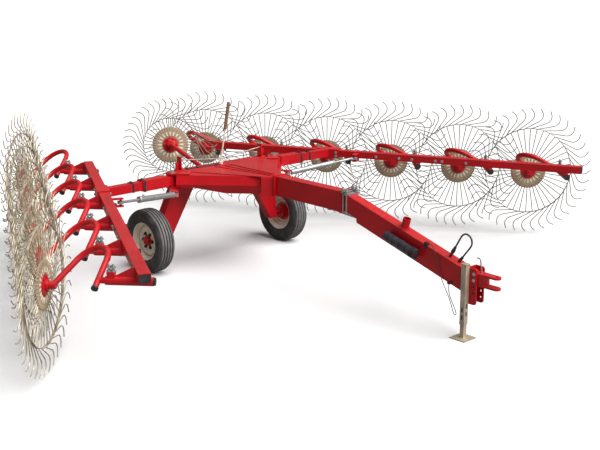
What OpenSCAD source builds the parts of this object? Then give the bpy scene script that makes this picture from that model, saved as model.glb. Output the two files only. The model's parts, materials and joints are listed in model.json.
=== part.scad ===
// Carted V-shaped wheel rake for hay: a delta frame on two wheels, two swept wings
// of raking wheels on crank arms, a raised centre kicker wheel and a drawbar with a jack.
// Millimetres, +X towards the hitch, +Y to the left, +Z up, Z = 0 on the ground.

/* [Transport wheels] */
// Distance between the two tyres' centres
track = 1900; // [1800:10:2100]
// Outer radius of a tyre
tyre_r = 345; // [330:1:370]
// Width of a tyre
tyre_w = 205; // [190:1:230]
// Radius of the rim where the tyre seats
rim_r = 203; // [190:1:210]
// Distance of the wheels' spindles behind the middle of the cross beam
axle_back = 45; // [0:5:60]
// Depth of the grooves round a tyre
groove_d = 10; // [6:1:14]
// Width of the grooves round a tyre
groove_w = 10; // [6:1:14]
// Thickness of the wheel disc
wheel_disc_t = 8; // [5:1:14]
// Radius of the wheel hub
wheel_hub_r = 72; // [60:1:85]
// Radius of the wheel spindle
spindle_r = 25; // [20:1:32]

/* [Delta frame] */
// Height of the frame's top face above the ground
frame_top_z = 1050; // [1000:5:1100]
// Depth of the girders at the drawbar
girder_h = 190; // [160:5:220]
// Depth of the girders at the wing pins
girder_end_h = 130; // [120:5:150]
// Width of a girder
girder_w = 190; // [150:5:220]
// Distance from the axle to the point where the girders meet
girder_apex_x = 830; // [750:10:950]
// Distance of a wing pin ahead of the axle
pivot_x = 60; // [30:5:100]
// Distance of a wing pin from the centre line
pivot_y = 720; // [690:5:760]
// Thickness of the deck plate
deck_t = 8; // [5:1:12]
// Width of the cross beam over the axle
cross_w = 120; // [100:5:150]
// Thickness of a leg from front to back
leg_t = 110; // [90:5:130]
// Height of the legs' lower ends
leg_low_z = 300; // [270:5:320]

/* [Wing pin and arm] */
// Radius of a wing pin
pin_r = 25; // [20:1:32]
// Thickness of the ears that hold a wing pin
ear_t = 16; // [12:1:22]
// Radius of the ears round the pin
ear_r = 62; // [55:1:75]
// Radius of the arm's barrel on the pin
barrel_r = 46; // [40:1:55]
// Side of the arm's outer tube
arm_w = 90; // [80:1:95]
// Side of the arm's sleeve
sleeve_w = 112; // [104:1:120]
// Length of the arm's sleeve
sleeve_l = 330; // [250:10:400]
// Thickness of the clamp plates on the beam
clamp_t = 14; // [10:1:20]
// Length of the clamp plates along the beam
clamp_l = 260; // [200:10:320]

/* [Wing beam] */
// Angle of a beam outwards from the line of travel
sweep = 26.8; // [22:0.1:30]
// Length of a beam behind its last stub
beam_tail = 45; // [45:5:200]
// Width of the beam tube
beam_w = 100; // [90:1:120]
// Depth of the beam tube
beam_h = 76; // [70:1:100]
// Height of a beam's top face
beam_top_z = 1018; // [1000:1:1040]
// Front end of a beam ahead of the axle
beam_front_x = 2712; // [2650:2:2850]
// Front end of a beam from the centre line
beam_front_y = 2919; // [2880:2:3000]
// Number of the stub ahead of the arm that carries a beam
arm_stub = 4; // [3:1:4]
// Distance from that stub back to the arm
arm_behind = 237; // [215:1:400]

/* [Crank arms] */
// Number of raking wheels on each wing
wheel_count = 6; // [5:1:7]
// Distance between neighbouring raking wheels
wheel_pitch = 845; // [820:1:900]
// Distance from a beam's front end to the middle of its first stub
stub_first = 176; // [150:2:200]
// Outer radius of the stub's bearing tube
stub_r = 36; // [33:1:40]
// Reach of a stub inwards past the beam's middle
stub_in = 92; // [80:2:110]
// Reach of a stub outwards past the beam's middle
stub_out = 275; // [250:5:285]
// Thickness of the saddle between a stub and its beam
saddle_t = 10; // [6:1:16]
// Thickness of the gusset from a stub up to its beam
gusset_t = 12; // [8:1:16]
// Radius of the crank tube
crank_r = 25; // [22:1:27]
// Radius of the crank's bend
crank_bend_r = 185; // [160:5:190]
// Distance from the beam's middle out to the crank's leg
leg_off = 345; // [330:5:360]
// Length of the crank's leg below its shaft
leg_tail = 78; // [60:2:90]
// Where the crank's two straights would meet, behind its stub
crank_meet_back = 779; // [760:1:800]
// Where the crank's two straights would meet, outwards from the beam
crank_meet_out = -23; // [-40:1:0]
// Height where the crank's two straights would meet
crank_meet_z = 1320; // [1300:5:1340]
// Length of the black caps
cap_l = 16; // [10:1:24]

/* [Raking wheels] */
// Radius to the tips of the tines
tip_r = 750; // [740:1:770]
// Height of a raking wheel's hub
hub_z = 780; // [775:1:800]
// Distance from a stub back to its wheel's hub
hub_back = 512; // [490:2:530]
// Distance from the beam's middle out to a wheel's hub
hub_out = 718; // [690:2:740]
// Angle of a raking wheel's plane outwards from the line of travel
plane_angle = 48; // [44:1:52]
// Number of tines
tine_count = 40; // [20:4:48]
// Thickness of the tine wire
wire = 7; // [6:0.5:9]
// Radius of the rim band that carries the tines
ring_r = 506; // [490:1:515]
// Width of the rim band
ring_w = 26; // [16:1:34]
// Radius of the hub disc
disc_r = 208; // [180:1:230]
// Radius of the crank's axle in the hub
axle_r = 20; // [16:1:24]
// Length of the straight stretch of a tine outside the rim
tine_run = 195; // [170:1:200]
// Radius of the hook of a tine
tine_hook_r = 80; // [65:1:85]

/* [Kicker wheel] */
// Radius to the tips of the kicker's tines
kicker_tip_r = 550; // [540:1:600]
// Radius of the kicker's rim band
kicker_ring_r = 310; // [290:1:320]
// Distance of the kicker's hub behind the axle
kicker_back = 930; // [850:10:1000]
// Height of the kicker's hub
kicker_z = 1135; // [1100:5:1180]
// Angle of the kicker's plane from the line of travel
kicker_angle = 54; // [45:1:60]
// Lean of the kicker's top to the rear
kicker_lean = 16; // [0:1:25]

/* [Drawbar] */
// Width of the drawbar tube
bar_w = 120; // [100:5:140]
// Depth of the drawbar tube
bar_h = 205; // [180:5:220]
// Distance from the axle to the joint of the drawbar
bar_joint_x = 1925; // [1850:5:2000]
// Height of the drawbar's top face
bar_top_z = 1072; // [1060:2:1080]
// Distance from the axle to the drawbar's front end
bar_end_x = 3520; // [3450:5:3560]
// Fall of the front drawbar, in degrees
bar_fall = 16.1; // [14:0.1:18]
// Length of the front drawbar's shallow root
root_l = 197; // [150:1:240]
// Depth that is cut from the front drawbar's root
root_cut = 41; // [30:1:60]
// Thickness of the flanges at the joint
flange_t = 14; // [10:1:20]

/* [Hitch] */
// Thickness of the hitch plates
hitch_t = 16; // [12:1:20]
// Height of the hitch's side plates
hitch_h = 336; // [320:2:360]
// Lower edge of the hitch's side plates
hitch_low_z = 324; // [300:2:330]
// Length of the hitch's side plates
hitch_plate_l = 92; // [80:2:120]
// Radius of the holes in the hitch's side plates
hitch_hole_r = 11; // [8:1:13]
// Height of the middle of the clevis
clevis_z = 558; // [540:2:570]
// Gap between the two ears of the clevis
clevis_gap = 78; // [70:1:90]
// Thickness of a clevis ear
clevis_t = 20; // [18:1:24]
// Width of a clevis ear
clevis_w = 80; // [70:1:88]
// Reach of the clevis hole ahead of the hitch's side plates
clevis_reach = 172; // [150:2:200]
// Radius of the drawbar pin's hole
clevis_hole_r = 16; // [13:0.5:20]

/* [Jack] */
// Side of the jack's outer tube
jack_w = 52; // [46:1:60]
// Wall of the jack's outer tube
jack_wall = 5; // [4:0.5:7]
// Lower end of the jack's outer tube
jack_low_z = 132; // [110:2:160]
// Upper end of the jack's outer tube
jack_top_z = 685; // [650:5:720]
// Side of the foot plate
foot_w = 172; // [150:2:220]
// Thickness of the foot plate
foot_t = 8; // [6:1:12]

/* [Wing cylinder] */
// Radius of the cylinder's barrel
ram_r = 30; // [25:1:36]
// Radius of the cylinder's rod
rod_r = 14; // [11:1:18]
// Length of the cylinder's barrel
ram_l = 560; // [500:10:620]
// Base pin ahead of the wing pin
ram_base_fwd = 170; // [140:5:190]
// Base pin outwards from the wing pin
ram_base_out = 70; // [50:5:90]
// Height of the cylinder at its base pin
ram_base_z = 868; // [860:1:876]
// Distance of the rod's pin ahead of the same stub as the arm's
ram_eye_fwd = 126; // [115:1:150]
// Distance of the rod's pin inwards from the beam's middle
ram_eye_in = 136; // [120:1:150]
// Height of the rod's eye
ram_eye_z = 962; // [955:1:980]

/* [Hidden] */
$fn = 48;
run_gap = 0.1;
tube_lap = 4;
bend_swell = 1.2;
saddle_sink = 8;
weld_sink = 6;
seat_gap = 0.3;
axle_z = tyre_r;
paint = [0.74, 0.06, 0.09];
cream = [0.80, 0.74, 0.60];
steel = [0.62, 0.60, 0.57];
black = [0.05, 0.05, 0.05];

// A beam runs back from its front end; hubs and stubs are set off along it and outwards.
beam_dir = [cos(sweep), sin(sweep)];
beam_out = [-sin(sweep), cos(sweep)];
function on_beam(back, out) = [beam_front_x, beam_front_y] - back * beam_dir + out * beam_out;
beam_l = stub_first + (wheel_count - 1) * wheel_pitch + beam_tail;
arm_stub_back = stub_first + (arm_stub - 1) * wheel_pitch;
arm_back = arm_stub_back + arm_behind;
ram_eye_back = arm_stub_back - ram_eye_fwd;
beam_low_z = beam_top_z - beam_h;
stub_z = beam_low_z - saddle_t - stub_r + saddle_sink;
plane_turn = plane_angle - sweep;

// The whole machine is centred on its length between the rear tine tips and the clevis.
last_hub = on_beam(stub_first + (wheel_count - 1) * wheel_pitch + hub_back, hub_out);
hitch_x = bar_end_x + flange_t;
clevis_x = hitch_x + hitch_plate_l + clevis_reach;
rear_x = last_hub.x - tip_r * cos(plane_angle);
mid_x = (clevis_x + clevis_w / 2 + rear_x) / 2;

function unit(v) = v / norm(v);

module from_axle() {
    translate([-mid_x, 0, 0]) children();
}

module on_side(side) {
    mirror([0, side == "right" ? 1 : 0, 0]) children();
}

// Beam frame: X forward along the beam from its front end, Y outwards.
module wing_frame() {
    translate([beam_front_x, beam_front_y, 0]) rotate(sweep) children();
}

module round_bar(a, b, r) {
    d = b - a;
    translate(a) rotate([0, acos(d.z / norm(d)), atan2(d.y, d.x)]) cylinder(r = r, h = norm(d));
}

// A round tube from a to c with one bend of radius bend_r at b, swollen a little by the bending.
module bent_bar(a, b, c, r, bend_r) {
    u = unit(a - b);
    v = unit(c - b);
    half = acos(u * v) / 2;
    p = b + u * bend_r / tan(half);
    q = b + v * bend_r / tan(half);
    o = b + unit(u + v) * bend_r / sin(half);
    ex = unit(p - o);
    ez = unit(cross(ex, q - o));
    ey = cross(ez, ex);
    round_bar(a, p - tube_lap * u, r);
    round_bar(q - tube_lap * v, c, r);
    multmatrix([[ex.x, ey.x, ez.x, o.x], [ex.y, ey.y, ez.y, o.y], [ex.z, ey.z, ez.z, o.z]])
        rotate_extrude(angle = 180 - 2 * half)
            translate([bend_r, 0]) circle(r + bend_swell);
}

// Delta frame

girder_turn = atan2(pivot_y, pivot_x - girder_apex_x);
girder_l = norm([pivot_x - girder_apex_x, pivot_y]);
girder_end = girder_l - barrel_r - 20;
girder_back = girder_w / 2;
cross_half = pivot_y - barrel_r - 40;
girder_flat = 190;
ear_sink = 2;
cross_h = girder_end_h + 6;
nose_x = girder_apex_x + girder_back + 45;
nose_w = bar_w + 60;
nose_rim = 12;

// Section across a girder: a front edge that stands out below the deck.
module girder_section() {
    polygon([[-girder_back, -girder_h], [girder_back - 45, -girder_h], [girder_back, -girder_h / 2],
             [girder_back - 35, 0], [-girder_back, 0]]);
}

// One girder, from the drawbar back to its wing pin, shallower at the pin.
module girder() {
    translate([girder_apex_x, 0, frame_top_z]) rotate(girder_turn)
        intersection() {
            rotate([90, 0, 90]) mirror([1, 0, 0]) translate([0, 0, -140])
                linear_extrude(girder_end + 140) girder_section();
            rotate([90, 0, 0]) linear_extrude(2 * girder_w, center = true)
                polygon([[-140, 0], [-140, -girder_h], [girder_l * 0.45, -girder_h],
                         [girder_end - girder_flat, -girder_end_h], [girder_end, -girder_end_h],
                         [girder_end, 0]]);
        }
}

module pin_ear(z) {
    translate([pivot_x, pivot_y, z]) difference() {
        union() {
            cylinder(r = ear_r, h = ear_t);
            rotate(girder_turn + 180) translate([0, -ear_r, 0])
                cube([barrel_r + 160, 2 * ear_r, ear_t]);
        }
        translate([0, 0, -1]) cylinder(r = pin_r + run_gap, h = ear_t + 2);
    }
}

ear_low_z = frame_top_z - girder_end_h - ear_t + ear_sink;
ram_base = [pivot_x + ram_base_fwd, pivot_y + ram_base_out];
ram_eye_h = 36;
ram_neck_r = 10;
ram_pin_r = 12;
ram_clevis_t = 12;

// Ears below the pin ear that hold the base of a wing cylinder.
module ram_base_bracket() {
    low = ram_base_z - ram_eye_h / 2 - seat_gap - ram_clevis_t;
    high = ram_base_z + ram_eye_h / 2 + seat_gap;
    reach = norm([ram_base_fwd, ram_base_out]);
    post = 50;
    translate([ram_base.x, ram_base.y, 0]) rotate(atan2(-ram_base_out, -ram_base_fwd)) {
        for (z = [low, high]) translate([0, 0, z]) {
            cylinder(r = 30, h = ram_clevis_t);
            translate([0, -30, 0]) cube([reach - pin_r - 8, 60, ram_clevis_t]);
        }
        translate([0, 0, low - 6]) cylinder(r = ram_pin_r, h = high + ram_clevis_t - low + 6);
        translate([reach - pin_r - 8 - post, -30, low]) cube([post, 60, ear_low_z + ear_t / 2 - low]);
    }
}

module main_frame() {
    color(paint) from_axle() {
        for (side = ["left", "right"]) on_side(side) {
            difference() {
                girder();
                translate([nose_x, -girder_w, frame_top_z - 2 * girder_h])
                    cube([girder_w, 2 * girder_w, 3 * girder_h]);
            }
            pin_ear(frame_top_z);
            pin_ear(ear_low_z);
            ram_base_bracket();
        }
        translate([-cross_w / 2, -cross_half, frame_top_z - cross_h])
            cube([cross_w, 2 * cross_half, cross_h]);
        translate([nose_x, -nose_w / 2, bar_joint_z - nose_rim])
            cube([flange_t, nose_w, bar_h + 2 * nose_rim]);
    }
}

deck_rear_x = -cross_w / 2;
deck_half = pivot_y - ear_r - 120;

module frame_deck() {
    color(paint) from_axle() translate([0, 0, frame_top_z]) linear_extrude(deck_t)
        polygon([[deck_rear_x, -deck_half], [deck_rear_x + 160, -deck_half],
                 [nose_x, -bar_w / 2], [nose_x, bar_w / 2],
                 [deck_rear_x + 160, deck_half], [deck_rear_x, deck_half]]);
}

leg_in = 370;
leg_out = track / 2 - tyre_w / 2 - 35;
leg_knee_z = 610;
leg_foot = 85;
leg_top_z = frame_top_z - cross_h;
spindle_end = 40;
spindle_collar = 14;

module axle_legs() {
    color(paint) from_axle() for (side = ["left", "right"]) on_side(side) translate([-axle_back, 0, 0]) {
        rotate([90, 0, 90]) linear_extrude(leg_t, center = true)
            polygon([[pivot_y - leg_in, leg_top_z], [cross_half, leg_top_z],
                     [leg_out - 25, leg_knee_z], [leg_out, leg_low_z], [leg_out - leg_foot, leg_low_z]]);
        translate([0, leg_out - spindle_end, axle_z]) rotate([-90, 0, 0])
            cylinder(r = spindle_r, h = track / 2 + 2 * spindle_end - leg_out);
        translate([0, leg_out - 1, axle_z]) rotate([-90, 0, 0])
            cylinder(r = spindle_r + spindle_collar, h = 12);
    }
}

module wing_pins() {
    head_h = 14;
    color(steel) from_axle() for (side = ["left", "right"]) on_side(side)
        translate([pivot_x, pivot_y, ear_low_z - 20]) {
            cylinder(r = pin_r, h = frame_top_z + ear_t - ear_low_z + 20);
            translate([0, 0, frame_top_z + ear_t - ear_low_z + 20])
                cylinder(r = pin_r + 10, h = head_h);
        }
}

// Wings

module beam(side) {
    color(paint) from_axle() on_side(side) wing_frame()
        translate([-beam_l, -beam_w / 2, beam_low_z]) cube([beam_l, beam_w, beam_h]);
}

arm_target = on_beam(arm_back, 0);
arm_vector = arm_target - [pivot_x, pivot_y];
arm_turn = atan2(arm_vector.y, arm_vector.x);
barrel_low = ear_low_z + ear_t + seat_gap;
barrel_h = frame_top_z - seat_gap - barrel_low;
arm_mid_z = beam_top_z + clamp_t - arm_w / 2 - 2;

module wing_arm(side) {
    color(paint) from_axle() on_side(side) difference() {
        union() {
            translate([pivot_x, pivot_y, 0]) {
                translate([0, 0, barrel_low]) cylinder(r = barrel_r, h = barrel_h);
                rotate(arm_turn) {
                    translate([0, -arm_w / 2, arm_mid_z - arm_w / 2])
                        cube([norm(arm_vector) + beam_w, arm_w, arm_w]);
                    translate([ear_r + 12, -sleeve_w / 2, arm_mid_z - sleeve_w / 2])
                        cube([sleeve_l, sleeve_w, sleeve_w]);
                }
            }
            wing_frame() translate([-arm_back, 0, 0]) {
                for (z = [beam_low_z - clamp_t, beam_top_z])
                    translate([-clamp_l / 2, -beam_w / 2 - clamp_t, z])
                        cube([clamp_l, beam_w + 2 * clamp_t, clamp_t]);
                for (y = [-beam_w / 2 - clamp_t, beam_w / 2])
                    translate([-clamp_l / 2, y, beam_low_z - clamp_t])
                        cube([clamp_l, clamp_t, beam_h + 2 * clamp_t]);
            }
        }
        translate([pivot_x, pivot_y, 0]) cylinder(r = pin_r + run_gap, h = 2 * frame_top_z);
        wing_frame() translate([-beam_l, -beam_w / 2, beam_low_z]) cube([beam_l, beam_w, beam_h]);
        wing_frame() translate([-beam_l, beam_w / 2 + clamp_t, 0]) cube([beam_l, 400, 2 * beam_top_z]);
    }
}

// A stub lies along its wheel's axle; its places are measured in the beam frame from the beam's middle.
hub_half = 45;
boss_r = crank_r + 6;
boss_half = crank_r + 3;
arm_off = hub_half + seat_gap + boss_half;
wheel_inward = [sin(plane_turn), -cos(plane_turn), 0];
hub_at = [-hub_back, hub_out, hub_z];
arm_end = hub_at + arm_off * wheel_inward;
function on_stub(out) = [0, 0, stub_z] - out * wheel_inward;
leg_at = on_stub(leg_off);
crank_meet = [-crank_meet_back, crank_meet_out, crank_meet_z];
leg_dir = unit(leg_at - crank_meet);
leg_end = leg_at + leg_tail * leg_dir;
collar_w = 12;
collar_r = stub_r - 2;
saddle_l = 84;
saddle_w = 58;
lug_l = 62;
lug_w = 54;
lug_h = 40;
washer_t = 12;
washer_rim = 14;

module each_stub() {
    for (i = [0:wheel_count - 1]) translate([-stub_first - i * wheel_pitch, 0, 0]) children();
}

// Bearing tube under the beam, with a saddle, a gusset up the beam's side and a clamp lug on top.
module stub() {
    saddle_low = stub_z + stub_r - saddle_sink;
    difference() {
        union() {
            round_bar(on_stub(-stub_in), on_stub(stub_out), stub_r);
            rotate(plane_turn) translate([-saddle_w / 2, -saddle_l / 2, saddle_low])
                cube([saddle_w, saddle_l, beam_low_z - saddle_low]);
            rotate(plane_turn) difference() {
                rotate([90, 0, 90]) linear_extrude(gusset_t, center = true)
                    polygon([[0, saddle_low], [0, beam_top_z - weld_sink], [beam_w / 2 + 25, beam_top_z - weld_sink],
                             [stub_out - lug_l, saddle_low + 10], [stub_out - lug_l, saddle_low]]);
                rotate(-plane_turn) translate([-beam_w, -2 * beam_w, beam_low_z])
                    cube([2 * beam_w, 2.5 * beam_w + seat_gap, beam_h]);
            }
            rotate(plane_turn) translate([-lug_w / 2, stub_out - lug_l - weld_sink, stub_z])
                cube([lug_w, lug_l, stub_r + lug_h]);
        }
        round_bar(on_stub(-2 * stub_in), on_stub(2 * stub_out), crank_r + run_gap);
    }
}

module stubs(side) {
    color(paint) from_axle() on_side(side) wing_frame() each_stub() stub();
}

module cranks(side) {
    axle_end = hub_at - (hub_half + seat_gap) * wheel_inward;
    color(paint) from_axle() on_side(side) wing_frame() each_stub() {
        bent_bar(leg_end, crank_meet, arm_end, crank_r, crank_bend_r);
        round_bar(on_stub(-stub_in), leg_at, crank_r);
        round_bar(on_stub(stub_out + seat_gap), on_stub(stub_out + seat_gap + collar_w), collar_r);
        round_bar(arm_end + boss_half * wheel_inward, arm_end - boss_half * wheel_inward, boss_r);
        round_bar(arm_end, axle_end - washer_t / 2 * wheel_inward, axle_r);
        round_bar(axle_end, axle_end - washer_t * wheel_inward, axle_r + washer_rim);
    }
}

plug_rim = 4;

// Plugs on the crank shafts, on the lower ends of the cranks and in the front end of the beam.
module crank_caps(side) {
    color(black) from_axle() on_side(side) wing_frame() {
        each_stub() {
            round_bar(on_stub(-stub_in - cap_l), on_stub(-stub_in), stub_r - plug_rim);
            round_bar(leg_end, leg_end + cap_l * leg_dir, crank_r + plug_rim);
        }
        translate([0, plug_rim - beam_w / 2, beam_low_z + plug_rim])
            cube([cap_l / 2, beam_w - 2 * plug_rim, beam_h - 2 * plug_rim]);
    }
}

// Wing cylinders

ram_eye_at = on_beam(ram_eye_back, -ram_eye_in);
ram_vector = ram_eye_at - ram_base;
ram_turn = atan2(ram_vector.y, ram_vector.x);
ram_rise = atan2(ram_eye_z - ram_base_z, norm(ram_vector));
ram_full = norm([norm(ram_vector), ram_eye_z - ram_base_z]);
rod_eye_h = 26;
rod_pin_gap = 7;
lug_gap = 18;
lug_r = 30;
lug_back_t = 10;

module ram_frame() {
    translate([ram_base.x, ram_base.y, ram_base_z]) rotate(ram_turn) children();
}

// Two ears with a pin; the ears leave room for the rod, which dips a little as the wing folds.
module ram_lug(side) {
    low = ram_eye_z - rod_eye_h / 2 - lug_gap - ram_clevis_t;
    high = ram_eye_z + rod_eye_h / 2 + lug_gap;
    color(paint) from_axle() on_side(side) wing_frame() translate([-ram_eye_back, 0, 0]) {
        for (z = [low, high]) translate([0, 0, z]) {
            translate([0, -ram_eye_in, 0]) cylinder(r = lug_r, h = ram_clevis_t);
            translate([-lug_r, -ram_eye_in, 0]) cube([2 * lug_r, ram_eye_in - beam_w / 2, ram_clevis_t]);
        }
        translate([0, -ram_eye_in, low]) cylinder(r = ram_pin_r, h = high + ram_clevis_t - low);
        translate([-lug_r, -beam_w / 2 - lug_back_t, low])
            cube([2 * lug_r, lug_back_t, high + ram_clevis_t - low]);
    }
}

module ram_barrel(side) {
    color(steel) from_axle() on_side(side) ram_frame() difference() {
        union() {
            translate([0, 0, -ram_eye_h / 2]) cylinder(r = 26, h = ram_eye_h);
            rotate([0, 90 - ram_rise, 0]) {
                translate([0, 0, 15]) cylinder(r = ram_neck_r, h = 40);
                translate([0, 0, 45]) cylinder(r = ram_r, h = ram_l);
            }
        }
        translate([0, 0, -ram_eye_h]) cylinder(r = ram_pin_r + run_gap, h = 2 * ram_eye_h);
        rotate([0, 90 - ram_rise, 0]) translate([0, 0, 75]) cylinder(r = rod_r + run_gap, h = ram_l);
    }
}

module ram_rod(side) {
    color(steel) from_axle() on_side(side) ram_frame() rotate([0, 90 - ram_rise, 0]) difference() {
        union() {
            translate([0, 0, ram_full - 400]) cylinder(r = rod_r, h = 380);
            translate([0, 0, ram_full]) rotate([0, ram_rise - 90, 0])
                translate([0, 0, -rod_eye_h / 2]) cylinder(r = 32, h = rod_eye_h);
        }
        translate([0, 0, ram_full]) rotate([0, ram_rise - 90, 0])
            translate([0, 0, -rod_eye_h]) cylinder(r = ram_pin_r + rod_pin_gap, h = 2 * rod_eye_h);
    }
}

// Raking wheels

tine_lift = 19;
tine_turn = 92;
tine_steps = 4;

function dir2(a) = [cos(a), sin(a)];

// Middle line of a tine whose spoke lies along +X: out to the rim, along it, and hooked back out.
function tine_path(band_r, out_r) =
    let (a0 = tine_lift - 90,
         run_end = [band_r, 0] + tine_run * dir2(a0),
         centre = run_end + tine_hook_r * dir2(a0 + 90),
         hook = [for (k = [1:tine_steps]) centre + tine_hook_r * dir2(a0 - 90 + tine_turn * k / tine_steps)],
         last = hook[tine_steps - 1],
         d = dir2(a0 + tine_turn),
         along = last * d,
         tip = last + (sqrt(along * along + out_r * out_r - last * last) - along) * d)
    concat([[disc_r - 20, 0], [band_r, 0], run_end], hook, [tip]);

// Outline of a wire of width w round a path, with mitred corners.
function wire_outline(path, w) =
    let (n = len(path),
         before = [for (i = [0:n - 1]) unit(path[max(i, 1)] - path[max(i, 1) - 1])],
         after = [for (i = [0:n - 1]) unit(path[min(i, n - 2) + 1] - path[min(i, n - 2)])],
         side = [for (i = [0:n - 1])
             let (t = unit(before[i] + after[i])) [-t.y, t.x] * w / 2 / (t * before[i])])
    concat([for (i = [0:n - 1]) path[i] + side[i]], [for (i = [n - 1:-1:0]) path[i] - side[i]]);

// A tined wheel in the XZ plane with its axle along Y and its crank on the -Y side.
module tined_wheel(band_r, out_r) {
    path = tine_path(band_r, out_r);
    tip = path[len(path) - 1];
    phase = -atan2(tip.y, tip.x);
    rotate([90, 0, 0]) difference() {
        union() {
            for (i = [0:tine_count - 1]) rotate(phase + i * 360 / tine_count)
                linear_extrude(wire, center = true) polygon(wire_outline(path, wire));
            difference() {
                cylinder(r = band_r + 3, h = ring_w, center = true);
                cylinder(r = band_r - 3, h = ring_w + 2, center = true);
            }
            cylinder(r = disc_r, h = wire + 7, center = true);
            cylinder(r = 2 * hub_half, h = wire + 24, center = true);
            cylinder(r = hub_half, h = 2 * hub_half, center = true);
        }
        cylinder(r = axle_r + run_gap, h = 4 * hub_half, center = true);
    }
}

module rake_wheel(side, i) {
    color(cream) from_axle() on_side(side) wing_frame()
        translate([-stub_first - (i - 1) * wheel_pitch, 0, 0] + hub_at) rotate(plane_turn)
            tined_wheel(ring_r, tip_r);
}

// Centre kicker

kicker_hub = [-kicker_back, 0, kicker_z];
kicker_axis = [sin(kicker_angle) * cos(kicker_lean), -cos(kicker_angle) * cos(kicker_lean), sin(kicker_lean)];

module kicker_wheel() {
    color(cream) from_axle() translate(kicker_hub) rotate(kicker_angle) rotate([-kicker_lean, 0, 0])
        tined_wheel(kicker_ring_r, kicker_tip_r);
}

kicker_plate_t = 14;
kicker_knee = 170;
kicker_bend_r = 110;

module kicker_arm() {
    elbow = kicker_hub + arm_off * kicker_axis;
    knee = [-cross_w / 2 - kicker_knee, -90, frame_top_z - 60];
    root = [-cross_w / 2 - kicker_plate_t / 2, knee.y, knee.z];
    end = kicker_hub - (hub_half + seat_gap) * kicker_axis;
    color(paint) from_axle() {
        bent_bar(elbow, knee, root, crank_r, kicker_bend_r);
        round_bar(elbow + boss_half * kicker_axis, elbow - boss_half * kicker_axis, boss_r);
        round_bar(elbow, end - washer_t / 2 * kicker_axis, axle_r);
        round_bar(end, end - washer_t * kicker_axis, axle_r + washer_rim);
        translate([-cross_w / 2 - kicker_plate_t, root.y - 55, root.z - 50]) cube([kicker_plate_t, 110, 100]);
    }
}

lever_l = 670;
lever_r = 9;
lever_grip = 0.45;
lever_grip_r = 17;
lever_base_r = 26;
lever_base_h = 24;

module kicker_lever() {
    base = [20, -20, frame_top_z + deck_t];
    foot = base + [0, 0, lever_base_h / 2];
    top = base + [0, 130, lever_l];
    color(steel) from_axle() {
        translate(base) cylinder(r = lever_base_r, h = lever_base_h);
        round_bar(foot, top, lever_r);
        round_bar(top - lever_grip * (top - foot), top, lever_grip_r);
    }
}

// Drawbar

bar_joint_z = bar_top_z - bar_h;

tongue_rear_x = nose_x + flange_t;
tongue_front_x = bar_joint_x + 2 * flange_t;

flange_rim = 10;

module tongue_flange(x) {
    translate([x, -bar_w / 2 - flange_rim, bar_joint_z - flange_rim])
        cube([flange_t, bar_w + 2 * flange_rim, bar_h + 2 * flange_rim]);
}

module tongue_rear() {
    color(paint) from_axle() {
        translate([tongue_rear_x, -bar_w / 2, bar_joint_z])
            cube([bar_joint_x - tongue_rear_x, bar_w, bar_h]);
        tongue_flange(bar_joint_x);
    }
}

function bar_top(x) = bar_top_z - tan(bar_fall) * (x - tongue_front_x);
bar_depth = bar_h / cos(bar_fall);
clamp_rod_r = 8;
clamp_gap = 47;
clamp_top = 62;
clamp_strap_w = 34;
clamp_strap_t = 12;
stay_r = 8;
stay_rear_x = 1727;
stay_lug = [44, 34, 24];

// U-bolts round the front drawbar's root, each with a strap on top, and the stay rod under the joint.
module tongue_clamps() {
    side_y = bar_w / 2 + clamp_rod_r + seat_gap;
    strap_l = 2 * side_y + 40;
    root_end = tongue_front_x + root_l;
    color(steel) from_axle() {
        for (x = [tongue_front_x + 22, tongue_front_x + 22 + clamp_gap]) {
            low = bar_top(x + clamp_strap_w / 2) - bar_depth + root_cut - clamp_rod_r - 3;
            for (y = [-side_y, side_y])
                round_bar([x, y, low], [x, y, bar_top(x) + clamp_top], clamp_rod_r);
            round_bar([x, -side_y - clamp_rod_r, low], [x, side_y + clamp_rod_r, low], clamp_rod_r + 1);
            translate([x, 0, bar_top(x) + seat_gap]) rotate([0, bar_fall, 0])
                translate([-clamp_strap_w / 2, -strap_l / 2, 0]) cube([clamp_strap_w, strap_l, clamp_strap_t]);
        }
        difference() {
            round_bar([stay_rear_x, 0, bar_joint_z - stay_lug.z / 2],
                      [root_end + 10, 0, bar_top(root_end) - bar_depth + root_cut / 2], stay_r);
            translate([root_end - seat_gap, -bar_w, 0]) cube([bar_w, 2 * bar_w, 2 * bar_joint_z]);
        }
        translate([stay_rear_x - stay_lug.x / 2, -stay_lug.y / 2, bar_joint_z - stay_lug.z]) cube(stay_lug);
    }
}

module tongue_front() {
    root_end = tongue_front_x + root_l;
    color(paint) from_axle() {
        rotate([90, 0, 0]) linear_extrude(bar_w, center = true)
            polygon([[tongue_front_x, bar_top_z - bar_depth + root_cut], [tongue_front_x, bar_top_z],
                     [bar_end_x, bar_top(bar_end_x)], [bar_end_x, bar_top(bar_end_x) - bar_depth],
                     [root_end, bar_top(root_end) - bar_depth],
                     [root_end, bar_top(root_end) - bar_depth + root_cut]]);
        tongue_flange(bar_joint_x + flange_t);
    }
}

hitch_in = bar_w / 2 - hitch_t;
hitch_hole_pitch = 58;
hitch_hole_count = 5;
hitch_corner_r = 24;
block_back = 20;
block_l = 136;

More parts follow.
